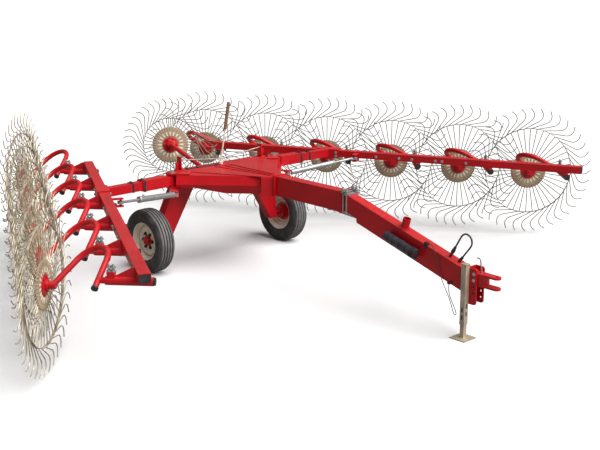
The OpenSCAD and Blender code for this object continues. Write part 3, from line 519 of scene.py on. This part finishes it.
def scattered(name, master, matrices):
    """Copies of a master at every matrix, joined in one piece."""
    return joined(name, [copied(master, f"{name}_{i}", m) for i, m in enumerate(matrices)])


def discard(*masters):
    """Removes forms that have been copied into place."""
    for master in masters:
        bpy.data.objects.remove(master)


def dress(piece, body, finish, slot=None):
    """Gives a piece its finish and its body; the record's slot that it is handed is not used."""
    piece.data.materials.clear()
    piece.data.materials.append(finishes[finish])
    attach(piece, body)
    slot or finish
    return piece


def facing(place, direction):
    """Matrix that sets local Z along a direction at a place."""
    turn = Vector(direction).normalized().to_track_quat("Z", "Y")
    return Matrix.Translation(place) @ turn.to_matrix().to_4x4()


def polar(radius, angle):
    return Vector((radius * math.cos(angle), radius * math.sin(angle), 0))


def on_circle(radius, count):
    """Places spaced evenly round a circle."""
    return [polar(radius, 2 * math.pi * k / count) for k in range(count)]


def from_axle(x, y, z):
    """A place measured from the ground under the cross beam's middle."""
    ahead = joints["left_wheel_spin"]["pos_m"][0] + bpy.context.scene.drawbar_sizes.axle_back
    return Vector((x + ahead, y, z))


def hex_bolt(name, radius, head):
    """A bolt head on its washer, standing on the plane Z = 0."""
    washer = 0.35 * head
    rings = [(radius * 1.5, 0), (radius * 1.5, washer * 0.8), (radius * 1.4, washer)]
    plate = turned(f"{name}_washer", rings, 16)
    let_go()
    bpy.ops.mesh.primitive_cylinder_add(vertices=6, radius=radius, depth=head,
                                        location=(0, 0, washer + head / 2))
    cap = named(f"{name}_head")
    edit_all()
    bpy.ops.mesh.bevel(offset=radius * 0.08, segments=1, affect="EDGES")
    smooth(cap, 30)
    return joined(name, [plate, cap])


# Pieces

class WheelBuilder:
    """Models the pieces of a tined wheel: X along its plane, Y up, Z towards its crank."""

    def __init__(self, sizes, ring_radius, tip_radius):
        self.sizes = sizes
        self.ring_radius = ring_radius
        self.tip_radius = tip_radius

    def tine_points(self):
        """Spoke, bend at the rim, straight run and hook of one tine."""
        s = self.sizes
        corner, root_depth, bend_steps, hook_steps = 0.012, 0.03, 3, 8
        run_angle = s.tine_lift - math.pi / 2
        points = [polar(s.disc_radius - root_depth, 0)]
        points += [Vector((self.ring_radius - corner + corner * math.sin(t), -corner * (1 - math.cos(t)), 0))
                   for t in (-run_angle * k / bend_steps for k in range(bend_steps + 1))]
        run_end = points[-1] + s.tine_run * polar(1, run_angle)
        points.append(run_end)
        centre = run_end + polar(s.hook_radius, run_angle + math.pi / 2)
        points += [centre + polar(s.hook_radius, run_angle - math.pi / 2 + s.hook_turn * k / hook_steps)
                   for k in range(1, hook_steps + 1)]
        way = polar(1, run_angle + s.hook_turn)
        along = points[-1].dot(way)
        reach = self.tip_radius - s.wire_radius
        tip = math.sqrt(along ** 2 + reach ** 2 - points[-1].length_squared) - along
        points.append(points[-1] + tip * way)
        phase = math.atan2(points[-1].y, points[-1].x)
        return [Matrix.Rotation(-phase, 3, "Z") @ p for p in points]

    def tines(self):
        """Every tine of the wheel, and the rim band that they bend at."""
        s = self.sizes
        tine = repeated(wire("wheel_tine", self.tine_points(), s.wire_radius), s.tine_count)
        half, lip, half_thick = s.ring_width / 2, 0.0012, 0.0028
        inner, outer = self.ring_radius - half_thick, self.ring_radius + half_thick
        side = [(inner, half - lip), (inner + lip, half), (outer - lip, half), (outer, half - lip)]
        band = turned("wheel_band", outline(side), 120, closed=True)
        return joined("tines_form", [tine, band])

    def disc(self):
        """Pressed disc in two halves, with a rib over every tine's root."""
        rim, face, raised = self.sizes.disc_radius, 0.0075, 0.0135
        side = [(0.046, face), (0.1, face), (0.118, raised), (rim - 0.05, raised),
                (rim - 0.012, face - 0.001), (rim, face - 0.002)]
        plate = turned("wheel_plate", outline(side), 80, closed=True)
        rib = block("wheel_rib", (0.044, 0.012, 0.028), (rim - 0.028, 0, 0), 0.004)
        return joined("disc_form", [plate, repeated(rib, self.sizes.tine_count)])

    def teeth(self):
        """Pale pressed teeth round the disc's middle, one for every second tine."""
        tooth = block("wheel_tooth", (0.048, 0.0205, 0.031), (0.126, 0, 0), 0.005)
        return repeated(tooth, self.sizes.tine_count // 2)

    def hub(self):
        """Hub barrel with its flanges and their bolts."""
        edge, flange, bolt_circle, bolt_count = self.sizes.flange_radius, 0.0155, 0.068, 6
        side = [(0.021, 0.045), (0.04, 0.045), (0.045, 0.04), (0.046, flange + 0.004), (0.052, flange),
                (edge - 0.002, flange), (edge, flange - 0.002)]
        barrel = turned("wheel_barrel", outline(side), 40, closed=True)
        bolt = hex_bolt("wheel_bolt", 0.009, 0.007)
        places = [facing(place + UP * flange * way, UP * way)
                  for place in on_circle(bolt_circle, bolt_count) for way in (1, -1)]
        bolts = scattered("wheel_bolts", bolt, places)
        discard(bolt)
        return joined("hub_form", [barrel, bolts])

    def masters(self):
        return {"tines": self.tines(), "disc": self.disc(), "teeth": self.teeth(), "hub": self.hub()}


def wheel_matrix(joint_name, mirrored):
    """Sets a modelled wheel on its joint: local Z along the joint's axis, local Y as upright as it can be."""
    joint = joints[joint_name]
    axis = Vector(joint["axis"]).normalized()
    across = UP.cross(axis).normalized()
    upright = axis.cross(across)
    turn = Matrix((across, upright, axis)).transposed().to_4x4()
    flip = Matrix.Scale(-1, 4, Vector((1, 0, 0))) if mirrored else Matrix.Identity(4)
    return Matrix.Translation(joint["pos_m"]) @ turn @ flip


def set_wheel(masters, joint_name, node, mirrored=False):
    """Sets copies of a wheel's pieces on its joint, in place of the frame's solid."""
    body = joints[joint_name]["child"]
    matrix = wheel_matrix(joint_name, mirrored)
    # The right wing's tines get the lit wire colour, and the left wing and the kicker get its darker copy as
    # painted shade
    looks = {"tines": ("tine_steel" if mirrored else "dull_steel", "tine_steel"),
             # The hub disc and its ribs are a darker brown than the teeth, as painted shade
             "disc": ("brown_paint", "cream_paint"), "teeth": ("tan_paint", "cream_paint"),
             "hub": ("red_paint", "red_paint")}
    for kind, master in masters.items():
        piece = dress(copied(master, f"{body}_{kind}", matrix), body, *looks[kind])
        if kind == "tines":
            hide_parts(node)


class RAKE_OT_raking_wheels(bpy.types.Operator):
    """Models a tined wheel and sets a copy on every hub of both wings and on the kicker"""

    bl_idname = "rake.raking_wheels"
    bl_label = "Raking wheels"

    def execute(self, context):
        sizes = context.scene.raking_wheel_sizes
        masters = WheelBuilder(sizes, sizes.ring_radius, sizes.tip_radius).masters()
        for side in SIDES:
            for k in range(1, WHEELS_PER_WING + 1):
                set_wheel(masters, f"{side}_rake_spin_{k}", f"{side}_rake_wheel_{k}", side == "right")
        discard(*masters.values())
        masters = WheelBuilder(sizes, sizes.kicker_ring_radius, sizes.kicker_tip_radius).masters()
        set_wheel(masters, "kicker_spin", "kicker_wheel")
        discard(*masters.values())
        return {"FINISHED"}


class RAKE_OT_transport_wheels(bpy.types.Operator):
    """Models the ribbed tyres, their rims, hubs and nuts"""

    bl_idname = "rake.transport_wheels"
    bl_label = "Transport wheels"

    def tread(self, sizes):
        """Rings across the tread, with square grooves sunk in it."""
        shoulder, crown, slope = 0.035, 0.012, 0.002
        depth, half = sizes.groove_depth, sizes.groove_width / 2
        flat = sizes.tyre_width - 2 * shoulder
        step = flat / sizes.groove_count
        groove = ((-half, 0), (-half + slope, depth), (half - slope, depth), (half, 0))
        rings = []
        for k in range(sizes.groove_count):
            middle = -flat / 2 + step * (k + 0.5)
            top = sizes.tyre_radius - crown * (2 * middle / sizes.tyre_width) ** 2
            rings += [(top - sunk, middle + offset) for offset, sunk in groove]
        return rings

    def tyre(self, sizes):
        """Tyre with a ridge and a groove on each wall."""
        half, radius, seat = sizes.tyre_width / 2, sizes.tyre_radius, sizes.rim_radius + 0.0005
        wall = [(seat, sizes.rim_half - 0.006), (seat + 0.012, sizes.rim_half + 0.002),
                (seat + 0.026, half - 0.014), (seat + 0.03, half - 0.01),
                (seat + 0.036, half - 0.01), (seat + 0.04, half - 0.006), (seat + 0.075, half),
                (seat + 0.084, half - 0.0005), (seat + 0.086, half - 0.004), (seat + 0.092, half - 0.004),
                (seat + 0.094, half - 0.001), (radius - 0.03, half - 0.009), (radius - 0.014, half - 0.022),
                (radius - 0.009, half - 0.03)]
        return turned("tyre_form", outline(wall, self.tread(sizes)), 96, closed=True)

    def rim(self, sizes):
        """Drop-centre rim with a stepped disc."""
        r, lip = sizes.rim_radius, sizes.rim_half
        rings = [
            (r, -lip), (r - 0.004, -lip), (r - 0.008, -lip + 0.012), (r - 0.03, -0.05), (r - 0.034, -0.01),
            (r - 0.06, -0.01), (r - 0.066, 0.014), (0.11, 0.02), (0.1, 0.012), (0.06, 0.012), (0.06, 0.022),
            (0.1, 0.022), (0.112, 0.03), (r - 0.06, 0.03), (r - 0.05, 0.024), (r - 0.044, 0.0),
            (r - 0.03, 0.0), (r - 0.028, 0.04), (r - 0.008, lip - 0.012), (r - 0.004, lip), (r, lip),
            (r, lip - 0.01), (r - 0.002, lip - 0.018), (r - 0.024, 0.044), (r - 0.024, -0.044),
            (r - 0.002, -lip + 0.018), (r, -lip + 0.01), (r, -lip)]
        return turned("rim_form", rings, 64, closed=True)

    def hub(self):
        """Hub barrel with a domed dust cap."""
        rings = [(0.026, -0.06), (0.068, -0.06), (0.072, -0.056), (0.072, 0.0), (0.105, 0.004),
                 (0.105, 0.012), (0.06, 0.0125), (0.058, 0.03), (0.044, 0.034), (0.043, 0.05),
                 (0.036, 0.062), (0.02, 0.068), (0.006, 0.07)]
        return turned("hub_barrel", rings, 48)

    def nuts(self, sizes):
        """Wheel nuts on the face of the rim's disc; they are black as painted shade for the rim's dark hand holes.
        """
        nut, disc_face = hex_bolt("wheel_nut", 0.0135, 0.014), UP * 0.022
        places = [facing(place + disc_face, UP) for place in on_circle(sizes.stud_circle, sizes.stud_count)]
        nuts = scattered("nut_form", nut, places)
        discard(nut)
        return nuts

    def execute(self, context):
        sizes = context.scene.transport_wheel_sizes
        # The nuts are black as painted shade for the rim's hand holes
        masters = {"tyre": (self.tyre(sizes), "rubber"), "rim": (self.rim(sizes), "cream_paint"),
                   "hub": (self.hub(), "red_paint"), "nuts": (self.nuts(sizes), "black_plastic")}
        for side, sign in SIDES.items():
            joint = joints[f"{side}_wheel_spin"]
            matrix = facing(joint["pos_m"], (0, sign, 0))
            for kind, (master, finish) in masters.items():
                piece = copied(master, f"{side}_transport_{kind}", matrix)
                dress(piece, joint["child"], finish)
                if kind in ("tyre", "rim"):
                    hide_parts(f"{side}_{kind}")
        discard(*[master for master, _ in masters.values()])
        return {"FINISHED"}


def route_length(points):
    return sum((b - a).length for a, b in zip(points, points[1:]))


def eased(places, steps=3):
    """Smooth curve through places measured as by from_axle, with some steps between neighbours."""
    points = [from_axle(*place) for place in places]
    ends = [points[0], *points, points[-1]]
    curve = []
    for a, b, c, d in zip(ends, ends[1:], ends[2:], ends[3:]):
        for t in (k / steps for k in range(steps)):
            curve.append((2 * b + (c - a) * t + (2 * a - 5 * b + 4 * c - d) * t ** 2
                          + (3 * b - a - 3 * c + d) * t ** 3) / 2)
    return curve + [points[-1]]


class RAKE_OT_cords(bpy.types.Operator):
    """Lays the hydraulic hose's loop and the light cable along their routes"""

    bl_idname = "rake.cords"
    bl_label = "Cords"

    def lay(self, name, route, diameter, **facts):
        """One cord along its route, in place of the frame's solid."""
        path = eased(route)
        piece = dress(wire(f"{name}_cover", path, diameter / 2, 3), "root", "black_plastic")
        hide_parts(name)
        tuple(path[0])
        route_length(path)

    def execute(self, context):
        self.lay("hose", HOSE_ROUTE, 0.016, stiffness="stiff", lay="loose")
        self.lay("cable", CABLE_ROUTE, 0.007, stiffness="limp", lay="hanging")
        return {"FINISHED"}


def wing_matrix(side, sizes):
    """Beam frame of a wing: X forward from its first stub, Y outwards, Z up from the ground."""
    first, last = (Vector(joints[f"{side}_rake_spin_{k}"]["pos_m"]) for k in (1, WHEELS_PER_WING))
    forward = (first - last).normalized()
    outward = UP.cross(forward) * SIDES[side]
    turn = Matrix((forward, outward, UP)).transposed().to_4x4()
    stub = first + sizes.hub_back * forward - sizes.hub_out * outward
    return Matrix.Translation((stub.x, stub.y, 0)) @ turn


class RAKE_OT_wing_hardware(bpy.types.Operator):
    """Bolts of the beams, studs of the stubs' clamps, arm collars and cylinder fittings"""

    bl_idname = "rake.wing_hardware"
    bl_label = "Wing hardware"

    # Distances behind a beam's front end, and offsets from the middle of the arm's clamp and of a lug
    beam_bolts = (1.282, 1.560, 1.638, 1.917, 2.071, 2.350)
    clamp_bolts = [(along, rise) for along in (-0.105, 0.105) for rise in (-0.022, 0.022)]
    lug_studs = (-0.016, 0.016)

    def stud(self):
        """Threaded stud with a nut at its foot and one near its top."""
        rod = turned("stud_rod", [(0.0075, -0.004), (0.0075, 0.056), (0.006, 0.058)], 16)
        foot = hex_bolt("stud_foot", 0.0155, 0.013)
        lock = copied(foot, "stud_lock", Matrix.Translation((0, 0, 0.03)))
        return joined("stud_form", [rod, foot, lock])

    def bolt_places(self, sizes):
        """Beam bolts through both faces and the bolts of the wing arm's clamp."""
        half = sizes.beam_width / 2
        for back in self.beam_bolts:
            for sign in (1, -1):
                yield facing((sizes.beam_ahead - back, sign * half, sizes.beam_middle), (0, sign, 0))
        for along, rise in self.clamp_bolts:
            for sign in (1, -1):
                yield facing((sizes.beam_ahead - sizes.arm_back + along, sign * sizes.clamp_face,
                              sizes.beam_middle + rise), (0, sign, 0))

    def stud_places(self, sizes):
        """Two studs on the clamp lug of every stub."""
        first, second = (Vector(joints[f"left_rake_spin_{k}"]["pos_m"]) for k in (1, 2))
        pitch = (first - second).length
        for k in range(WHEELS_PER_WING):
            stub = Matrix.Translation((-k * pitch, 0, 0)) @ Matrix.Rotation(sizes.plane_turn, 4, "Z")
            for offset in self.lug_studs:
                yield stub @ Matrix.Translation((0, sizes.lug_out + offset, sizes.lug_top))

    def arm_collars(self, side, sizes):
        """Dark collars with set bolts, one on the wing arm and one at the mouth of its sleeve."""
        pivot = Vector(joints[f"{side}_wing_fold"]["pos_m"])
        along = wing_matrix(side, sizes) @ Vector((sizes.beam_ahead - sizes.arm_back, 0, 0)) - pivot
        turn = Matrix.Rotation(math.atan2(along.y, along.x), 4, "Z")
        pivot.z = sizes.arm_middle
        collar_length, proud = 0.024, 0.004
        bolt = hex_bolt("set_bolt", 0.013, 0.012)
        parts = []
        for reach, half in ((0.6 * along.xy.length, sizes.arm_half),
                            (sizes.sleeve_end - 0.02, sizes.sleeve_half)):
            place = Matrix.Translation(pivot) @ turn @ Matrix.Translation((reach, 0, 0))
            outside = half + proud
            parts += [placed(block("collar", (collar_length, 2 * outside, 2 * outside)), place),
                      copied(bolt, "collar_bolt", place @ Matrix.Translation((0, 0, outside)))]
        discard(bolt)
        return joined(f"{side}_arm_collars", parts)

    def cylinder_fittings(self, side, sizes):
        """Gland at the barrel's mouth and two ports."""
        base = Vector(joints[f"{side}_ram_swing"]["pos_m"])
        along = -Vector(joints[f"{side}_ram_stroke"]["axis"])
        r, end, bore, depth = sizes.cylinder_radius, sizes.cylinder_length, 0.0185, 0.028
        gland_rings = [(bore, -depth), (r + 0.0012, -depth), (r + 0.004, -0.025), (r + 0.004, -0.003),
                       (r + 0.002, 0), (bore, 0), (bore, -depth)]
        gland = placed(turned("gland", gland_rings, 32, closed=True),
                       facing(base + along * (end + 0.0005), along))
        port_rings = [(0.011, r - 0.004), (0.011, r + 0.008), (0.0085, r + 0.009), (0.0085, r + 0.016),
                      (0.006, r + 0.018)]
        port = turned("port", port_rings, 20)
        ports = scattered("ports", port, [facing(base + along * reach, UP - along * along.z)
                                          for reach in (0.1, end - 0.07)])
        discard(port)
        return joined(f"{side}_cylinder_fittings", [gland, ports])

    def execute(self, context):
        sizes = context.scene.wing_sizes
        bolt, stud = hex_bolt("beam_bolt", 0.0115, 0.009), self.stud()
        for side in SIDES:
            wing = wing_matrix(side, sizes)
            bolts = scattered(f"{side}_beam_bolts", bolt, [wing @ m for m in self.bolt_places(sizes)])
            studs = scattered(f"{side}_stub_studs", stud, [wing @ m for m in self.stud_places(sizes)])
            for piece in (bolts, studs):
                dress(piece, f"{side}_wing", "bright_steel")
            dress(self.arm_collars(side, sizes), f"{side}_wing", "black_plastic")
            dress(self.cylinder_fittings(side, sizes), f"{side}_ram", "bright_steel")
        discard(bolt, stud)
        return {"FINISHED"}


class RAKE_OT_frame_hardware(bpy.types.Operator):
    """Hardware of the frame, drawbar, hitch, jack and lever"""

    bl_idname = "rake.frame_hardware"
    bl_label = "Frame hardware"

    # U-bolts ahead of the front bar's rear end, their nuts above it, rows of hitch bolts, screws of the deck,
    # heights of the jack's slots, and bands along the papers' tube
    clamp_bolts = (0.022, 0.069)
    clamp_lifts = (0.0135, 0.033)
    bolted_rows = (3, 4)
    deck_screws = [(-0.03, y) for y in (-0.45, -0.15, 0.15, 0.45)]
    side_slots = (0.2, 0.27)
    front_slots = (0.235, 0.305)
    bands = (0.055, 0.12, 0.2, 0.28)

    def bar_top(self, sizes, x):
        """Height of the front drawbar's top at a place along it."""
        return sizes.front_top - math.tan(sizes.bar_fall) * (x - sizes.front_x)

    def nut_places(self, sizes):
        """Nuts on the U-bolts of the drawbar's joint."""
        out = sizes.bar_half + 0.0083
        for x in (sizes.front_x + along for along in self.clamp_bolts):
            for sign in (1, -1):
                for lift in self.clamp_lifts:
                    yield facing(from_axle(x, sign * out, self.bar_top(sizes, x) + lift), UP)

    def bolt_places(self, sizes):
        """Bolts through the hitch plates, and screws along the deck's rear edge."""
        for row in self.bolted_rows:
            for sign in (1, -1):
                yield facing(from_axle(sizes.hitch_hole_x, sign * sizes.bar_half,
                                       sizes.hitch_low + row * sizes.hitch_pitch), (0, sign, 0))
        for x, y in self.deck_screws:
            yield facing(from_axle(x, y, sizes.deck_top), UP)

    def jack_trim(self, sizes):
        """Cap of the jack, and thin black plates on its faces as painted shade for its slots."""
        half = sizes.jack_half
        y = -sizes.bar_half - half
        cap = block("jack_cap", (2 * half + 0.008, 2 * half + 0.006, 0.012),
                    from_axle(sizes.bar_end, y - 0.001, sizes.jack_top + 0.006), 0.003)
        # Thin black plates where the tube has slots: painted shade, not openings
        slot = block("slot_form", (0.016, 0.0016, 0.042), edge=0.0007)
        turn = Matrix.Rotation(math.pi / 2, 4, "Z")
        places = [Matrix.Translation(from_axle(sizes.bar_end, y - half, z)) for z in self.side_slots]
        places += [Matrix.Translation(from_axle(sizes.bar_end + half, y, z)) @ turn for z in self.front_slots]
        slots = scattered("jack_slots", slot, places)
        discard(slot)
        return cap, slots

    def tube_bands(self, sizes):
        """Bands round the papers' tube and the ridges of its lid."""
        along = Vector((math.cos(sizes.bar_fall), 0, -math.sin(sizes.bar_fall)))
        start = from_axle(sizes.tube_x, -sizes.bar_half - sizes.tube_radius - 0.004,
                          self.bar_top(sizes, sizes.tube_x) - sizes.tube_drop)
        r, half, ridge_count = sizes.tube_radius, 0.008, 30
        rings = outline([(r - 0.002, half), (r + 0.0018, half)], [(r + 0.0022, 0)])
        band = turned("band_form", rings, 48, closed=True)
        places = [facing(start + along * reach, along) for reach in self.bands]
        bands = scattered("tube_bands", band, places)
        discard(band)
        ridge = block("tube_lid_ridges", (0.0035, 0.006, 0.052), (r + 0.0045, 0, 0), 0.0012)
        lid = placed(repeated(ridge, ridge_count), facing(start + along * (sizes.tube_length - 0.027), along))
        return bands, lid

    def lever_grip(self):
        """Ribbed sleeve over the upper part of the lever."""
        foot, top = from_axle(*LEVER_FOOT), from_axle(*LEVER_TOP)
        along = (top - foot).normalized()
        end = 0.45 * (top - foot).length
        thin, thick, rib_count = 0.0178, 0.0192, 10
        rings = [(0.0172, 0), (thin, 0.002)]
        for k in range(rib_count):
            low = 0.006 + (end - 0.02) * k / rib_count
            rings += [(thin, low), (thick, low + 0.004), (thick, low + 0.018), (thin, low + 0.022)]
        rings += [(thin, end - 0.008), (0.0165, end - 0.0015), (0.008, end + 0.0005)]
        return placed(turned("lever_grip", rings, 24), facing(top - along * end, along))

    def hydraulic_lines(self, sizes):
        """Two dark lines clipped along the cross beam, from the lever's foot to the near cylinder."""
        z, clip = sizes.deck_top, (0.05, 0.018, 0.014)
        route = ((0.05, -0.06), (0.035, -0.13), (0.02, -0.21), (0.012, -0.35), (0, -0.49))
        lines = [wire("line", eased([(x + shift, y, z + 0.0055) for x, y in route]), 0.005, 2)
                 for shift in (0, 0.016)]
        clips = [block("clip", clip, from_axle(x, y, z + 0.006), 0.003)
                 for x, y in ((0.046, -0.11), (0.02, -0.35), (0.01, -0.475))]
        return joined("hydraulic_lines", lines + clips)

    def deck_pipes(self, sizes):
        """Painted pipes clipped along the deck, from the lever's foot to the nose."""
        z = sizes.deck_top + 0.004
        route = ((0.09, 0), (0.3, 0.2), (0.6, 0.65), (0.85, 0.95), (0.98, 1))
        pipes = [wire("pipe", eased([(x, start + (end - start) * t, z) for x, t in route]), 0.004, 2)
                 for start, end in ((-0.16, -0.04), (-0.07, 0.0), (0.02, 0.04))]
        clips = [block("clip", (0.018, width, 0.009), from_axle(x, y, z))
                 for x, y, width in ((0.14, -0.07, 0.21), (0.88, 0, 0.11))]
        return joined("deck_pipes", pipes + clips)

    def stop_brackets(self, sizes):
        """Upright bracket with its foot near each end of the cross beam."""
        z = sizes.cross_top
        parts = []
        for sign in SIDES.values():
            y = sign * sizes.bracket_out
            parts += [block("bracket_foot", (0.09, 0.07, 0.012), from_axle(0, y, z + 0.005)),
                      block("bracket_post", (0.07, 0.014, 0.15), from_axle(0, y - sign * 0.02, z + 0.08)),
                      block("bracket_rib", (0.014, 0.05, 0.09), from_axle(0, y + sign * 0.008, z + 0.05))]
        return joined("stop_brackets", parts)

    def lever_links(self, sizes):
        """Rods from the lever's foot to the brackets."""
        x, y, z = LEVER_FOOT
        rods = []
        for sign in SIDES.values():
            ends = [from_axle(x, y + sign * 0.02, z + 0.045),
                    from_axle(0.012, sign * (sizes.bracket_out - 0.017), sizes.cross_top + 0.12)]
            rods.append(wire("link", ends, 0.007, 2))
        return joined("lever_links", rods)

    def execute(self, context):
        sizes = context.scene.drawbar_sizes
        nut, bolt = hex_bolt("clamp_nut", 0.0145, 0.014), hex_bolt("frame_bolt", 0.0115, 0.008)
        nuts = scattered("clamp_nuts", nut, self.nut_places(sizes))
        bolts = scattered("frame_bolts", bolt, self.bolt_places(sizes))
        discard(nut, bolt)
        handle = wire("hitch_pin_handle", eased(PIN_HANDLE_ROUTE), 0.0065, 2)
        # slots holds the jack's thin black plates, painted shade for its slots
        cap, slots = self.jack_trim(sizes)
        bands, lid = self.tube_bands(sizes)
        dress(cap, "root", "yellow_zinc", "cream_paint")
        dress(self.lever_grip(), "root", "grip", "black_plastic")
        plain = {"black_plastic": (slots, bands, lid, self.hydraulic_lines(sizes)),
                 "red_paint": (self.deck_pipes(sizes), self.stop_brackets(sizes)),
                 "bright_steel": (nuts, bolts, handle, self.lever_links(sizes))}
        for finish, pieces in plain.items():
            for piece in pieces:
                dress(piece, "root", finish)
        return {"FINISHED"}


class RAKE_OT_finishes(bpy.types.Operator):
    """Mixes the finishes and gives every solid of the frame its own"""

    bl_idname = "rake.finishes"
    bl_label = "Finishes"

    def execute(self, context):
        make_finishes(context.scene.rake_colours, context.scene.transport_wheel_sizes.tyre_radius)
        special = {"jack_tube": "yellow_zinc", "jack_leg": "yellow_zinc", "kicker_lever": "tan_paint",
                   "document_tube": "grey_plastic", "cord_fittings": "black_plastic"}
        slots = {part["node"]: part["material_slot"] for part in frame["record"]["subparts"]}
        for node, solid in frame["nodes"].items():
            solid.data.materials.clear()
            solid.data.materials.append(finishes[special.get(node, slots[node])])
        return {"FINISHED"}


class RAKE_OT_stage(bpy.types.Operator):
    """Sets the floor, the lamps, the sky and the camera"""

    bl_idname = "rake.stage"
    bl_label = "Stage"

    def floor(self, colours):
        """A plain floor, white to the camera and duller where it throws light back."""
        let_go()
        bpy.ops.mesh.primitive_plane_add(size=160, location=(0, 0, 0))
        piece = named("studio_floor")
        edit_all()
        bpy.ops.mesh.subdivide(number_cuts=3)
        let_go()
        material, shader, place = start_finish("floor_paint")
        white = place.speckle(1.5).blend(rgba(colours.floor, 0.99), rgba(colours.floor, 1.01))
        seen = place.node("ShaderNodeLightPath", result="Is Camera Ray")
        feed(shader, Base_Color=seen.blend(rgba(colours.bounce), white))
        shader.inputs["Roughness"].default_value = 0.8
        shader.inputs["Specular IOR Level"].default_value = 0.1
        piece.data.materials.append(material)

    def sun(self, stage):
        """One broad lamp, so that the shadows are soft and the floor is evenly white."""
        let_go()
        bpy.ops.object.light_add(type="SUN", location=(0, 0, 8))
        lamp = bpy.context.object
        lamp.name = "broad_lamp"
        lamp.data.energy = stage.sun_strength
        lamp.data.angle = stage.sun_spread
        lamp.rotation_euler = Vector(stage.sun_aim).to_track_quat("-Z", "Y").to_euler()

    def sky(self, strength):
        """Even light for the object, and plain white where the camera sees past the floor."""
        world = bpy.data.worlds.new("studio_sky")
        bpy.context.scene.world = world
        world.use_nodes = True
        background = world.node_tree.nodes["Background"]
        background.inputs["Color"].default_value = (1, 1, 1, 1)
        seen = Shade(world.node_tree).node("ShaderNodeLightPath", result="Is Camera Ray")
        feed(background, Strength=seen * (1 - strength) + strength)

    def camera(self, stage):
        """Camera that looks along its yaw and down by its fall."""
        let_go()
        bpy.ops.object.camera_add(location=stage.camera_place)
        camera = bpy.context.object
        flat = math.cos(stage.camera_fall)
        aim = Vector((math.cos(stage.camera_yaw) * flat, math.sin(stage.camera_yaw) * flat,
                      -math.sin(stage.camera_fall)))
        camera.rotation_euler = aim.to_track_quat("-Z", "Y").to_euler()
        camera.data.lens = stage.lens
        camera.data.sensor_width = 36
        camera.data.clip_end = 200
        bpy.context.scene.camera = camera

    def execute(self, context):
        stage = context.scene.rake_stage
        context.scene.view_settings.view_transform = "Standard"
        self.camera(stage)
        self.floor(context.scene.rake_colours)
        self.sun(stage)
        self.sky(stage.sky_strength)
        return {"FINISHED"}


class RAKE_PT_panel(bpy.types.Panel):
    """Lists the steps that dress the rake"""

    bl_label = "Wheel Rake"
    bl_space_type = "VIEW_3D"
    bl_region_type = "UI"
    bl_category = "Wheel Rake"

    def draw(self, context):
        for step in STEPS:
            self.layout.operator(step.bl_idname)


SETTINGS = {"raking_wheel_sizes": RakingWheelSizes, "transport_wheel_sizes": TransportWheelSizes,
            "wing_sizes": WingSizes, "drawbar_sizes": DrawbarSizes, "rake_colours": Colours,
            "rake_stage": StageSizes}
STEPS = (RAKE_OT_finishes, RAKE_OT_stage, RAKE_OT_cords, RAKE_OT_raking_wheels, RAKE_OT_transport_wheels,
         RAKE_OT_wing_hardware, RAKE_OT_frame_hardware)
CLASSES = (*SETTINGS.values(), *STEPS, RAKE_PT_panel)


def register():
    for cls in CLASSES:
        bpy.utils.register_class(cls)
    for name, group in SETTINGS.items():
        setattr(bpy.types.Scene, name, PointerProperty(type=group))


def unregister():
    for name in SETTINGS:
        delattr(bpy.types.Scene, name)
    for cls in reversed(CLASSES):
        bpy.utils.unregister_class(cls)


def main():
    register()
    bpy.ops.rake.finishes()
    bpy.ops.rake.stage()
    bpy.ops.rake.cords()
    bpy.ops.rake.raking_wheels()
    bpy.ops.rake.transport_wheels()
    bpy.ops.rake.wing_hardware()
    bpy.ops.rake.frame_hardware()


if __name__ == "__main__":
    main()
